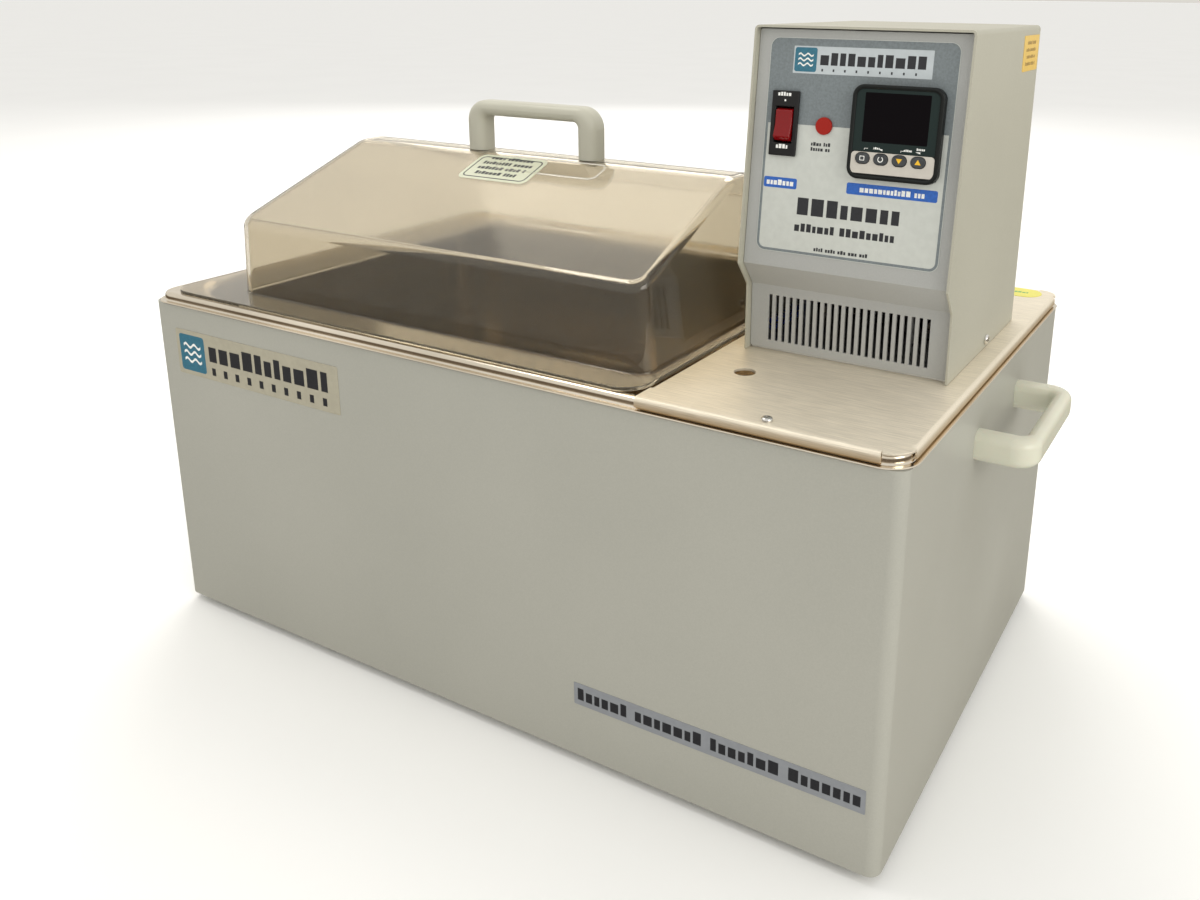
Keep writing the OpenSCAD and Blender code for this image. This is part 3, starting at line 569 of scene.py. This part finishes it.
def box_loop(u0, v0, u1, v1, r=0.0, steps=6):
    """A rectangle's outline, with round corners if r is over 0."""
    if r <= 0:
        return [(u0, v0), (u1, v0), (u1, v1), (u0, v1)]
    return (arc(u1 - r, v0 + r, r, -90, 0, steps) + arc(u1 - r, v1 - r, r, 0, 90, steps)
            + arc(u0 + r, v1 - r, r, 90, 180, steps) + arc(u0 + r, v0 + r, r, 180, 270, steps))


def round_top(u0, u1, v1, r):
    """The two round corners at the top of an outline, from right to left."""
    return arc(u1 - r, v1 - r, r, 0, 90, 8) + arc(u0 + r, v1 - r, r, 90, 180, 8)


def word_blocks(u0, u1, v, height, seed, gap_every=(4, 9)):
    """A line of blank blocks in place of lettering: words of small blocks from u0 to u1."""
    draw = random.Random(seed)
    loops, u, left = [], u0, draw.randint(*gap_every)
    while u < u1 - 0.35 * height:
        width = min(height * draw.uniform(0.42, 0.78), u1 - u)
        loops.append(box_loop(u, v, u + width, v + height * draw.choice((0.8, 0.8, 1.0))))
        u += width + height * 0.2
        left -= 1
        if left == 0:
            u += height * 0.55
            left = draw.randint(*gap_every)
    return loops


def evaluated(name, data, modifiers=()):
    """The mesh that a curve or a mesh makes after modifiers, each given as a type and its settings."""
    rough = new_object(name + "_rough", data)
    for kind, settings in modifiers:
        modifier = rough.modifiers.new(kind.lower(), kind)
        for key, value in settings.items():
            setattr(modifier, key, value)
    bpy.context.view_layer.update()
    made = bpy.data.meshes.new_from_object(rough.evaluated_get(bpy.context.evaluated_depsgraph_get()))
    bpy.data.objects.remove(rough)
    made.name = name
    return made


def printed(name, face, loops, material, lift=0.0, thick=0.03):
    """A thin printed layer on a face. Its outlines are in mm from the face's corner, and an outline inside
    another is a hole."""
    curve = bpy.data.curves.new(name, "CURVE")
    curve.dimensions, curve.fill_mode, curve.extrude = "2D", "BOTH", thick * mm / 2
    for loop in loops:
        spline = curve.splines.new("POLY")
        spline.points.add(len(loop) - 1)
        for point, (u, v) in zip(spline.points, loop):
            point.co = (u * mm, v * mm, 0, 1)
        spline.use_cyclic_u = True
    mesh = evaluated(name, curve)
    bm = bmesh.new()
    bm.from_mesh(mesh)
    bmesh.ops.remove_doubles(bm, verts=bm.verts, dist=0.0005 * mm)
    bmesh.ops.recalc_face_normals(bm, faces=bm.faces)
    bm.to_mesh(mesh)
    bm.free()
    mesh.transform(face.matrix(lift + thick / 2))
    add_piece(name, mesh, material, face.node)


def round_rect_ring(half_l, half_w, r, z, steps=10, centre=(0.0, 0.0)):
    """Points round a rounded rectangle at one height, in mm."""
    points = []
    for sx, sy, start in ((1, -1, -90), (1, 1, 0), (-1, 1, 90), (-1, -1, 180)):
        for u, v in arc(sx * (half_l - r), sy * (half_w - r), r, start, start + 90, steps):
            points.append(Vector(((centre[0] + u) * mm, (centre[1] + v) * mm, z * mm)))
    return points


def bridge(bm, ring, other):
    """Faces between two closed rings of equal length."""
    count = len(ring)
    for k in range(count):
        bm.faces.new((ring[k], ring[(k + 1) % count], other[(k + 1) % count], other[k]))


def loft(name, rings, angle):
    """Joins rings of equal length into a closed skin, with a cap on the first and the last."""
    bm = bmesh.new()
    rows = [[bm.verts.new(p) for p in ring] for ring in rings]
    for row, follow in zip(rows, rows[1:]):
        bridge(bm, row, follow)
    bm.faces.new(rows[0])
    bm.faces.new(rows[-1])
    return to_mesh(name, bm, angle)


def turn_up(bm, size):
    """Makes an open skin's faces agree, so that the face of the greatest size looks up."""
    bm.normal_update()
    bmesh.ops.recalc_face_normals(bm, faces=bm.faces)
    if max(bm.faces, key=size).normal.z < 0:
        bmesh.ops.reverse_faces(bm, faces=bm.faces)


def walled(name, bm, thick, broken, angle):
    """A skin with a wall on its under side. Edges sharper than the angle get a small bevel, broken wide."""
    skin = bpy.data.meshes.new(name + "_skin")
    bm.to_mesh(skin)
    bm.free()
    bevel = {"width": broken * mm, "segments": 2, "limit_method": "ANGLE", "angle_limit": math.radians(angle)}
    return evaluated(name, skin, [
        ("SOLIDIFY", {"thickness": thick * mm, "offset": -1, "use_even_offset": True}), ("BEVEL", bevel)])


def add_cylinder(bm, centre, r, half, sides=48):
    """An upright cylinder, half its height each way from its centre."""
    bmesh.ops.create_cone(bm, cap_ends=True, segments=sides, radius1=r, radius2=r, depth=2 * half,
                          matrix=Matrix.Translation(centre))


def cut(name, mesh, cutter_bm):
    """The mesh with the cutter's shape taken away."""
    cutter = new_object(name + "_cutter", bpy.data.meshes.new(name + "_cutter"))
    bmesh.ops.recalc_face_normals(cutter_bm, faces=cutter_bm.faces)
    cutter_bm.to_mesh(cutter.data)
    cutter_bm.free()
    settings = {"operation": "DIFFERENCE", "object": cutter, "solver": "EXACT"}
    made = evaluated(name, mesh, [("BOOLEAN", settings)])
    bpy.data.objects.remove(cutter)
    return made


# ---------------------------------------------------------------- screws

def islands(node):
    """The corners of each separate solid of a node."""
    bm = node_bmesh(node)
    left, found = set(bm.verts), []
    while left:
        group, todo = [], [left.pop()]
        while todo:
            vert = todo.pop()
            group.append(vert.co.copy())
            for edge in vert.link_edges:
                other = edge.other_vert(vert)
                if other in left:
                    left.remove(other)
                    todo.append(other)
        found.append(group)
    bm.free()
    return found


def middle_of(points):
    return Vector([(min(p[i] for p in points) + max(p[i] for p in points)) / 2 for i in range(3)])


def node_middle(node):
    return middle_of([vert.co for vert in nodes[node].data.vertices])


def make_screws(node, out_of):
    """Pan head screws with a cross recess in place of the node's. out_of gives the way a head faces."""
    bm, slots = bmesh.new(), bmesh.new()
    sides = 28
    for points in islands(node):
        middle = middle_of(points)
        out = out_of(middle)
        top, low = (pick(p.dot(out) for p in points) for pick in (max, min))
        head_r = max((p - middle - out * (p - middle).dot(out)).length for p in points)
        head_h, shank_r = 0.62 * head_r, 0.5 * head_r
        seat = top - head_h
        outline = [
            (0.62 * head_r, top - 0.02 * head_h), (0.84 * head_r, top - 0.14 * head_h),
            (0.96 * head_r, top - 0.4 * head_h), (head_r, top - 0.72 * head_h), (head_r, seat),
            (shank_r, seat), (shank_r, low + 0.3 * shank_r), (0.7 * shank_r, low),
        ]
        side = out.orthogonal().normalized()
        across = out.cross(side)
        centre = middle - out * middle.dot(out)
        rows = [[bm.verts.new(centre + out * h + (side * math.cos(a) + across * math.sin(a)) * r)
                 for a in (2 * math.pi * k / sides for k in range(sides))] for r, h in outline]
        for upper, lower in zip(rows, rows[1:]):
            bridge(bm, upper, lower)
        bm.faces.new(rows[0])
        bm.faces.new(rows[-1])
        long, wide, deep = 0.56 * head_r, 0.1 * head_r, 0.45 * head_h
        arm = ((long, -wide), (long, wide), (wide, wide))
        turns = ((1, 0), (0, 1), (-1, 0), (0, -1))
        cross = [(u * c - v * s, u * s + v * c) for c, s in turns for u, v in arm]
        floor, roof = ([slots.verts.new(centre + out * h + side * u + across * v) for u, v in cross]
                       for h in (top - deep, top + deep))
        bridge(slots, floor, roof)
        slots.faces.new(floor[::-1])
        slots.faces.new(roof)
    name = node + "_made"
    mesh = cut(name, to_mesh(node + "_blank", bm), slots)
    add_piece(name, smooth(mesh), SCREW, node, (node,))


# ---------------------------------------------------------------- tank, bridge plate and lid

def tank_rings():
    """Rings of the pressed tank, in two runs. The skin goes from the lip up the skirt, over the rolled rim
    and down the wall to the floor. The under side goes from the floor back up to the lip."""
    low, high = (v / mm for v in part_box("bath_tank"))
    half_l, half_w, rim, foot = high.x, high.y, high.z, low.z
    sheet, skirt, inner, lip = 1.0, 3.4, 13.2, rim - 6.4
    outer_r, wall_r, roll, top_roll, floor_roll = 13.0, 52.0, 7.0, 2.8, 22.0
    taper = 1.2
    depth = foot + sheet

    def ring(inset, r, z):
        return round_rect_ring(half_l - inset, half_w - inset, r, z)

    skin = [
        ring(skirt + sheet, outer_r - sheet, lip), ring(0.3, outer_r + 3, lip),
        ring(0, outer_r + 3, lip + 0.4), ring(0.3, outer_r + 3, lip + 0.9),
        ring(skirt - 0.7, outer_r + 0.7, lip + 1.1), ring(skirt, outer_r, lip + 1.9),
    ]
    skin += [ring(skirt + top_roll - u, outer_r - top_roll + u, rim - top_roll + v)
             for u, v in arc(0, 0, top_roll, 0, 90, 6)]
    for a in quarter(8):
        moved = roll * math.sin(a)
        skin.append(ring(inner - roll + moved, wall_r + roll - moved, rim - roll * (1 - math.cos(a))))
    skin.append(ring(inner + taper / 2, wall_r, rim - 90))
    for a in quarter(7):
        moved = floor_roll * (1 - math.cos(a))
        skin.append(ring(inner + taper + moved, wall_r - 0.8 * moved, depth + floor_roll * (1 - math.sin(a))))
    flat = inner + taper + floor_roll
    under = [
        ring(flat + 30, 20, depth), ring(flat + 30, 20, foot), ring(flat, wall_r - 0.8 * floor_roll, foot),
        ring(inner - 1, wall_r + 1, foot + floor_roll), ring(inner - sheet, wall_r + 1, rim - roll - 2),
        ring(inner - roll, wall_r + roll, rim - sheet),
        ring(skirt + top_roll, outer_r - top_roll, rim - sheet),
        ring(skirt + sheet, outer_r - sheet, rim - top_roll),
    ]
    return skin, under


def build_tank():
    """Pressed tank, closed by a face on each side of its floor."""
    name = "pressed_tank"
    skin, under = tank_rings()
    bm = bmesh.new()
    rows = [[bm.verts.new(p) for p in ring] for ring in skin + under]
    floor = len(skin)
    for i, row in enumerate(rows):
        if i != floor:
            bridge(bm, row, rows[(i + 1) % len(rows)])
    bm.faces.new(rows[floor])
    bm.faces.new(rows[floor + 1])
    weight_normals(add_piece(name, to_mesh(name, bm, 40), TANK, "bath_tank", ("bath_tank",)))


def build_plate():
    """Brushed plate with its edges folded down over the rim and into the bath, and its holes."""
    low, high = (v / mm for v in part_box("bridge_plate"))
    sheet, bend, fold, end, inner_y = 1.2, 2.6, 5.6, 13.0, 146.0
    thermometer_r, shaft_hole_r, probe_hole_r, screw_hole_r = 6, 42, 4, 1.7
    x0, x1, x2, x3 = low.x, low.x + bend, high.x - end, high.x
    side, deck = high.y, high.z
    straight = side - end
    half = [(side, deck - fold), (side, deck - bend)]
    half += [(side - bend + a, deck - bend + b) for a, b in arc(0, 0, bend, 0, 90, 5)][1:]
    half += [(straight, deck), (inner_y, deck)]
    section = [(-y, z) for y, z in half] + half[::-1]
    bm = bmesh.new()

    def vert(x, y, z):
        return bm.verts.new((x * mm, y * mm, z * mm))

    columns = [[vert(x, y, z) for y, z in section] for x in (x0, x1, x2)]
    left = len(half) - 1
    for i in range(len(section) - 1):
        if i != left:
            bm.faces.new((columns[0][i], columns[1][i], columns[1][i + 1], columns[0][i + 1]))
        bm.faces.new((columns[1][i], columns[2][i], columns[2][i + 1], columns[1][i + 1]))

    def bent(x, way):
        """A path of X and Z that bends down from the deck, starting level at x."""
        return [(x + way * bend * math.sin(t), deck - bend * (1 - math.cos(t))) for t in quarter(5)]

    def strip(start, path):
        """Carries a row of corners along a path, and gives the new rows."""
        rows = [start]
        for x, z in path:
            row, last = [vert(x, v.co.y / mm, z) for v in start], rows[-1]
            for i in range(len(row) - 1):
                bm.faces.new((last[i], row[i], row[i + 1], last[i + 1]))
            rows.append(row)
        return rows[1:]

    strip(columns[1][left:left + 2], bent(x1, -1)[1:] + [(x0, low.z)])
    end_row = strip(columns[2][left - 1:left + 3], bent(x3 - bend, 1) + [(x3, deck - fold)])[0]
    for way, centre, bend_top, fold_top in (
            (-1, columns[2][left - 1], end_row[0], columns[2][left - 2]),
            (1, columns[2][left + 2], end_row[-1], columns[2][left + 3])):
        corner = [vert(x2 + u, way * (straight + v), deck) for u, v in arc(0, 0, end, 3, 87, 8)]
        bm.faces.new([centre, bend_top, *corner, fold_top])
    turn_up(bm, lambda face: face.calc_area())
    mesh = walled("plate_solid", bm, sheet, 0.3, 50)
    holes = bmesh.new()
    thermometer = next(m for m in frame["record"]["mounts"] if m["name"] == "thermometer_hole")
    axis = node_middle("drive_shaft")
    add_cylinder(holes, Vector(thermometer["pos_m"]), thermometer_r * mm, 0.05, 64)
    add_cylinder(holes, Vector((axis.x, axis.y, deck * mm)), shaft_hole_r * mm, 0.004, 96)
    for probe in ("temperature_probe", "over_temp_probe"):
        place = node_middle(probe)
        add_cylinder(holes, Vector((place.x, place.y, deck * mm)), probe_hole_r * mm, 0.004)
    for points in islands("bridge_plate_screws"):
        add_cylinder(holes, middle_of(points), screw_hole_r * mm, 0.02)
    mesh = smooth(cut("brushed_bridge_plate", mesh, holes))
    weight_normals(add_piece("brushed_bridge_plate", mesh, DECK, "bridge_plate", ("bridge_plate",)))


def build_lid():
    """Thermoformed lid: a flange, and a gable dome whose edges are all round."""
    low, high = (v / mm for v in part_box("lid_shell"))
    sheet, wall, flange_r, corner_r, dome_r, foot_r, draft = 2.5, 2.4, 16.0, 11.0, 5.0, 3.5, 0.071
    dome_left, dome_right, dome_side, drop = 49.0, 9.5, 20.5, 42.3
    ridge_front, ridge_back = -29.0, -9.0
    flange = low.z + sheet
    x0, x1, side = low.x + dome_left, high.x - dome_right, high.y - dome_side
    eave = high.z - drop
    outline = [(-side, flange), (-side, eave), (ridge_front, high.z), (ridge_back, high.z), (side, eave),
               (side, flange)]
    bm = bmesh.new()
    ends = [[bm.verts.new(((x + lean * (eave - z)) * mm, y * mm, z * mm)) for y, z in outline]
            for x, lean in ((x0, -draft), (x1, draft))]
    for i in range(len(outline) - 1):
        bm.faces.new((ends[0][i], ends[0][i + 1], ends[1][i + 1], ends[1][i]))
    for end in ends:
        bm.faces.new(end)
    steps = 10
    centre = ((low.x + high.x) / 2, 0)
    rim = [bm.verts.new(p) for p in
           round_rect_ring((high.x - low.x) / 2, high.y, flange_r, flange, steps, centre)]
    corners = [ends[1][0], ends[1][-1], ends[0][-1], ends[0][0]]
    for k in range(4):
        start = k * (steps + 1) + steps // 2
        run = [rim[(start + i) % len(rim)] for i in range(steps + 2)]
        bm.faces.new([*run, corners[(k + 1) % 4], corners[k]])
    turn_up(bm, lambda face: face.calc_center_median().z)

    def bent(edge):
        return len(edge.link_faces) == 2 and edge.calc_face_angle() > math.radians(8)

    def at_foot(edge):
        return all(abs(v.co.z - flange * mm) < 1e-6 for v in edge.verts)

    def upright(edge):
        return abs((edge.verts[1].co - edge.verts[0].co).normalized().z) > 0.9

    def above(edge):
        return not upright(edge) and not at_foot(edge)

    for test, radius, segments in ((upright, corner_r, 7), (above, dome_r, 6), (at_foot, foot_r, 4)):
        bmesh.ops.bevel(bm, geom=[e for e in bm.edges if bent(e) and test(e)], offset=radius * mm,
                        segments=segments, profile=0.5, affect="EDGES", clamp_overlap=True)
    mesh = walled("clear_lid", bm, wall, 0.6, 60)
    weight_normals(add_piece("clear_lid", smooth(mesh, 40), LID, "lid_shell", ("lid_shell",)))


# ---------------------------------------------------------------- softened sheet and mouldings

def build_head():
    """The bent sheets of the head, with their folds rounded and their cut edges broken."""
    low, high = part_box("head_cover")
    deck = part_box("bridge_plate")[1].z
    panel_low, panel_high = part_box("head_front_panel")

    def side_gap(middle):
        return min(abs(middle.x - low.x), abs(middle.x - high.x))

    def cover_fold(middle, way):
        return side_gap(middle) < 0.3 * mm and abs(way.y) > 0.9 and high.z - middle.z < 0.3 * mm

    def cover_inner_fold(middle, way):
        return side_gap(middle) < 2 * mm and abs(way.y) > 0.9 and 0.8 * mm < high.z - middle.z < 2 * mm

    def panel_bend(middle, way):
        return abs(way.x) > 0.9 and 30 * mm < middle.z - deck < 60 * mm

    def panel_side(middle, way):
        return abs(way.x) < 0.1 and min(middle.x - panel_low.x, panel_high.x - middle.x) < 0.2 * mm

    soften("head_cover", [(2.4, 5, cover_fold), (1.2, 4, cover_inner_fold), (0.25, 2, always)])
    soften("head_front_panel", [(3.2, 4, panel_bend), (1.2, 4, panel_side)])
    soften("head_rear_panel", [(0.25, 2, always)])


def build_handle(node, out, along):
    """A moulded bridge handle, whose legs narrow round the corner into a bar that is round all over. Out
    points away from what it stands on, and along is its length."""
    low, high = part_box(node)
    size = high - low
    depth_way = out.cross(along)
    length, height, depth = (abs(size.dot(way)) / mm for way in (along, out, depth_way))
    base = (low + high) / 2 - out * abs(size.dot(out)) / 2
    leg, bar, outer_r, inner_r, round_r = 14.0, 10.0, 14.0, 4.0, 5.4
    steps = 9
    half, under = length / 2, height - bar
    outer = [(-half, 0), (-half, height - outer_r)]
    outer += arc(outer_r - half, height - outer_r, outer_r, 180, 90, steps)
    inner = [(leg - half, 0), (leg - half, under - inner_r)]
    inner += arc(leg + inner_r - half, under - inner_r, inner_r, 180, 90, steps)
    pairs = list(zip(outer, inner))
    pairs += [((-o[0], o[1]), (-i[0], i[1])) for o, i in reversed(pairs)]
    rings = []
    for o, i in pairs:
        width = math.hypot(o[0] - i[0], o[1] - i[1])
        across = ((o[0] - i[0]) / width, (o[1] - i[1]) / width)
        middle = ((o[0] + i[0]) / 2, (o[1] + i[1]) / 2)
        ring = []
        for u, v in box_loop(-width / 2, -depth / 2, width / 2, depth / 2, min(round_r, width / 2 - 0.1), 6):
            x, z = middle[0] + across[0] * u, middle[1] + across[1] * u
            ring.append(base + (along * x + out * z + depth_way * v) * mm)
        rings.append(ring)
    name = node + "_moulded"
    weight_normals(add_piece(name, loft(name, rings, 50), BY_NODE[node], node, (node,)))


def build_mouldings():
    """The handles, the case and the small mouldings of the front panel."""
    build_handle("right_carry_handle", X, Y)
    build_handle("left_carry_handle", -X, Y)
    build_handle("lid_handle", Z, X)
    edges = [("outer_case", 0.6, 3), ("over_temp_lamp", 0.7, 4), ("switch_rocker", 0.9, 4),
             ("switch_frame", 0.7, 3), ("controller", 1.1, 4)]
    edges += [(node, 0.35, 3) for node in nodes if node.endswith("_button")]
    for node, radius, segments in edges:
        soften(node, [(radius, segments, always)])


# ---------------------------------------------------------------- printing

def inset(loop_of, width):
    """An outline and the same outline moved in by width, which make a line."""
    return [loop_of(0), loop_of(width)]


def print_front_label(normal):
    """The grey and white label. Its layout is in mm from its lower left corner."""
    face = Face("front_label", normal, X)
    w, h, field = face.width, face.height, 69.2
    edge, r = 0.3, 4.7
    switch = Face("switch_frame", normal, X)
    s0, s_low = face.place_of(switch)
    s0, s1, s_top = s0 + 0.5, s0 + switch.width - 0.5, s_low + switch.height - 0.5
    upper = [(edge, field), (s0, field), (s0, s_top), (s1, s_top), (s1, field), (w - edge, field)]
    upper += round_top(edge, w - edge, h - edge, r)
    printed("label_grey_field", face, [upper], GREY_INK)

    def border(d):
        return box_loop(edge + d, edge + d, w - edge - d, h - edge - d, r - d, 8)

    printed("label_border", face, inset(border, 1.4), GREY_INK, lift=0.03, thick=0.02)
    plaque = (13.7, 95.9, 89.2, 110.0)
    printed("label_plaque", face, [box_loop(*plaque, 0.4)], PLAQUE_FILM, lift=0.03, thick=0.08)
    icon = (plaque[0] + 0.7, plaque[1] + 0.9, plaque[0] + 13.2, plaque[3] - 0.7)
    top = 0.11
    printed("label_icon", face, [box_loop(*icon, 1.2)], TEAL_INK, lift=top)
    printed("label_icon_waves", face, wave_icon(icon), WHITE_INK, lift=top + 0.03)
    dark = word_blocks(icon[2] + 2, plaque[2] - 2.5, plaque[1] + 4.6, 6.4, 11, (20, 20))
    dark += spaced_blocks(icon[2] + 3, plaque[2] - 2.5, plaque[1] + 1.4, 1.3, 9)
    printed("plaque_blocks", face, dark, DARK_INK, lift=top)
    text = word_blocks(22.7, 79.7, 21.5, 9.2, 5, (20, 20))
    text += word_blocks(22.0, 78.0, 12.5, 4.4, 3, (6, 9))
    text += word_blocks(34.2, 65.7, 2.9, 2.0, 8, (3, 7))
    text += word_blocks(27.6, 38.6, 58.7, 1.9, 2) + word_blocks(27.6, 38.6, 56.0, 1.9, 4)
    printed("label_blocks", face, text, DARK_INK, thick=0.04)
    plates = [(1.9, 34.7, 21.3, 40.4), (49.7, 35.3, 98.4, 41.3)]
    printed("label_blue_plates", face, [box_loop(*p, 1.0) for p in plates], BLUE_INK, thick=0.04)
    words = word_blocks(3.6, 20.0, 36.2, 2.9, 6, (9, 9)) + word_blocks(57.0, 92.0, 36.8, 2.9, 7, (12, 12))
    printed("label_plate_blocks", face, words, WHITE_INK, lift=0.04)
    marks = word_blocks(3.4, 12.2, 31.6, 2.0, 3) + word_blocks(4.4, 11.2, 3.9, 2.3, 5)
    marks.append(arc(switch.width / 2, 29.3, 0.55, 0, 337.5, 15))
    printed("switch_marks", switch, marks, WHITE_INK)


def wave_icon(icon):
    """Three level wave lines, for water, in the square icon."""
    u0, v0, u1, v1 = icon
    size, steps, loops = u1 - u0, 24, []
    swing, half_line = 0.05 * size, 0.035 * size
    for row in (0.3, 0.5, 0.7):
        upper, lower = [], []
        for k in range(steps + 1):
            u = u0 + size * (0.16 + 0.68 * k / steps)
            v = v0 + (v1 - v0) * row + swing * math.sin(k / steps * 4 * math.pi)
            upper.append((u, v + half_line))
            lower.append((u, v - half_line))
        loops.append(lower + upper[::-1])
    return loops


def spaced_blocks(u0, u1, v, height, count):
    """Small blank blocks set wide apart."""
    pitch = (u1 - u0) / count
    return [box_loop(u0 + k * pitch, v, u0 + k * pitch + 0.7 * height, v + height) for k in range(count)]


def key_symbol(symbol, u, v):
    """The outlines of a key's symbol round its middle: a page, a ring, or a triangle up or down."""
    if symbol == "page":
        return [box_loop(u - half_w, v - half_h, u + half_w, v + half_h, r)
                for half_w, half_h, r in ((1.3, 1.2, 0.3), (0.95, 0.85, 0.15))]
    if symbol == "loop":
        return [arc(u, v, 1.5, 120, 420, 20) + arc(u, v, 1.05, 420, 120, 20)]
    way = 1 if symbol == "up" else -1
    return [[(u - 1.6, v - 1.1 * way), (u + 1.6, v - 1.1 * way), (u, v + 1.5 * way)]]


def print_controller(normal):
    """The controller's glossy face, its raised rim, its marks and the symbols on its keys."""
    face = Face("controller", normal, X)
    size = face.width
    window = Face("controller_window", normal, X)
    wu, wv = face.place_of(window)
    edge, split, r = 2.3, 14.2, 3.8
    plate = [(edge, split), (size - edge, split)]
    plate += round_top(edge, size - edge, size - edge, r)
    hole = box_loop(wu, wv, wu + window.width, wv + window.height, 0.6)
    face_top = 0.06
    printed("bezel_face", face, [plate, hole], BEZEL_FACE, thick=face_top)
    profile = ((0.35, 0.0, 5.7), (0.0, 0.35, 6.0), (0.35, 0.75, 5.7), (1.3, 0.85, 4.9), (2.0, 0.55, 4.2),
               (2.2, 0.0, 4.0))
    bm = bmesh.new()
    rings = [[bm.verts.new(face.corner + face.along * u * mm + face.up * v * mm + face.out * lift * mm)
              for u, v in box_loop(d, d, size - d, size - d, ring_r, 8)] for d, lift, ring_r in profile]
    for ring, follow in zip(rings, rings[1:] + rings[:1]):
        bridge(bm, ring, follow)
    add_piece("bezel_rim", to_mesh("bezel_rim", bm, 50), BEZEL, "controller")
    marks = word_blocks(13.6, 17.4, 15.6, 1.1, 2) + word_blocks(29.6, 34.4, 15.6, 1.1, 3)
    marks += word_blocks(36.2, 40.4, 16.6, 1.2, 4)
    line, low, high, gap = 0.22, 15.0, 15.9, 2.8
    for start, end in ((8.6, 18.4), (28.0, 38.2)):
        middle = (start + end) / 2
        marks += [box_loop(start, low, start + line, high), box_loop(end, low, end + line, high),
                  box_loop(start + line, high - line, middle - gap, high),
                  box_loop(middle + gap, high - line, end, high)]
    printed("bezel_marks", face, marks, WHITE_INK, lift=face_top, thick=0.02)
    for node, symbol, colour in (
            ("page_button", "page", WHITE_INK), ("scroll_button", "loop", WHITE_INK),
            ("down_button", "down", AMBER_INK), ("up_button", "up", AMBER_INK)):
        key = Face(node, normal, X)
        printed(node + "_symbol", key, key_symbol(symbol, key.width / 2, key.height / 2), colour)


def print_case():
    """The badge and the long strip on the front of the case, which lies a little askew."""
    badge = Face("case_badge", -Y, X)
    square = (3.2, 3.0, 28.2, badge.height - 3.0)
    printed("badge_icon", badge, [box_loop(*square, 2.2)], TEAL_INK)
    printed("badge_waves", badge, wave_icon(square), WHITE_INK, lift=0.03, thick=0.02)
    blocks = word_blocks(32.5, 148.5, 13.0, 13.0, 21, (30, 30)) + spaced_blocks(34.0, 150.0, 3.6, 5.2, 10)
    printed("badge_blocks", badge, blocks, DARK_INK)
    tilt = math.radians(0.6)
    strip = Face("case_strip", -Y, Vector((math.cos(tilt), 0, math.sin(tilt))))
    printed("strip_blocks", strip, word_blocks(2.6, strip.width - 2.6, 3.4, 7.6, 4, (5, 9)), DARK_INK)


def print_stickers():
    """The yellow stickers on the side of the head and on the plate."""
    side = Face("side_sticker", X, Y)
    rows = []
    for k in range(4):
        margin = 6 + 2 * (k % 2)
        rows += word_blocks(margin, side.width - margin, 3.2 + 3.9 * k, 2.0, 30 + k, (5, 8))
    printed("side_blocks", side, rows, BROWN_INK)
    oval = Face("plate_sticker", Z, X)
    printed("oval_blocks", oval, word_blocks(9, 25, 9.5, 3.0, 12, (9, 9)), GREEN_INK)


def print_lid_label():
    """The lid's framed label, and the thin clear edge of the plate beside it."""
    low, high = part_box("lid_label")
    rise = Vector((0, high.y - low.y, high.z - low.z)).normalized()
    tag = Face("lid_label", X.cross(rise), X)

    def border(d):
        return box_loop(2.4 + d, 2.4 + d, tag.width - 2.4 - d, tag.height - 2.4 - d, 4.0 - d, 8)

    lines = inset(border, 0.9)
    for k in range(4):
        margin = 10.5 if k in (0, 3) else 8
        lines += word_blocks(margin, tag.width - margin, 6.6 + 6.4 * k, 3.6, 40 + k)
    printed("tag_print", tag, lines, DARK_INK)

    def plate_edge(d):
        return box_loop(20 + d, 14 + d, 100 - d, 33 - d, 6 - d, 8)

    printed("lid_doubler_edge", tag, inset(plate_edge, 1.1), CLEAR, lift=-0.25, thick=0.5)


add_camera()
add_studio()
for name, node in nodes.items():
    node.data.materials.clear()
    node.data.materials.append(BY_NODE[name])

build_tank()
build_plate()
build_lid()
build_head()
build_mouldings()

head_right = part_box("head_cover")[1].x
for screws, out_of in (
        ("bridge_plate_screws", lambda at: Z),
        ("cover_screws", lambda at: X if at.x > head_right - 20 * mm else -X),
        ("foot_screws", lambda at: -Z),
        ("base_screws", lambda at: -Z),
        ("lid_handle_screws", lambda at: -Z),
        ("carry_handle_screws", lambda at: -X if at.x > 0 else X),
        ("inlet_screws", lambda at: Y)):
    make_screws(screws, out_of)

press = next(j for j in frame["joints"] if j["name"] == "up_key_press")
panel_out = -Vector(press["axis"])
print_front_label(panel_out)
print_controller(panel_out)
print_case()
print_stickers()
print_lid_label()
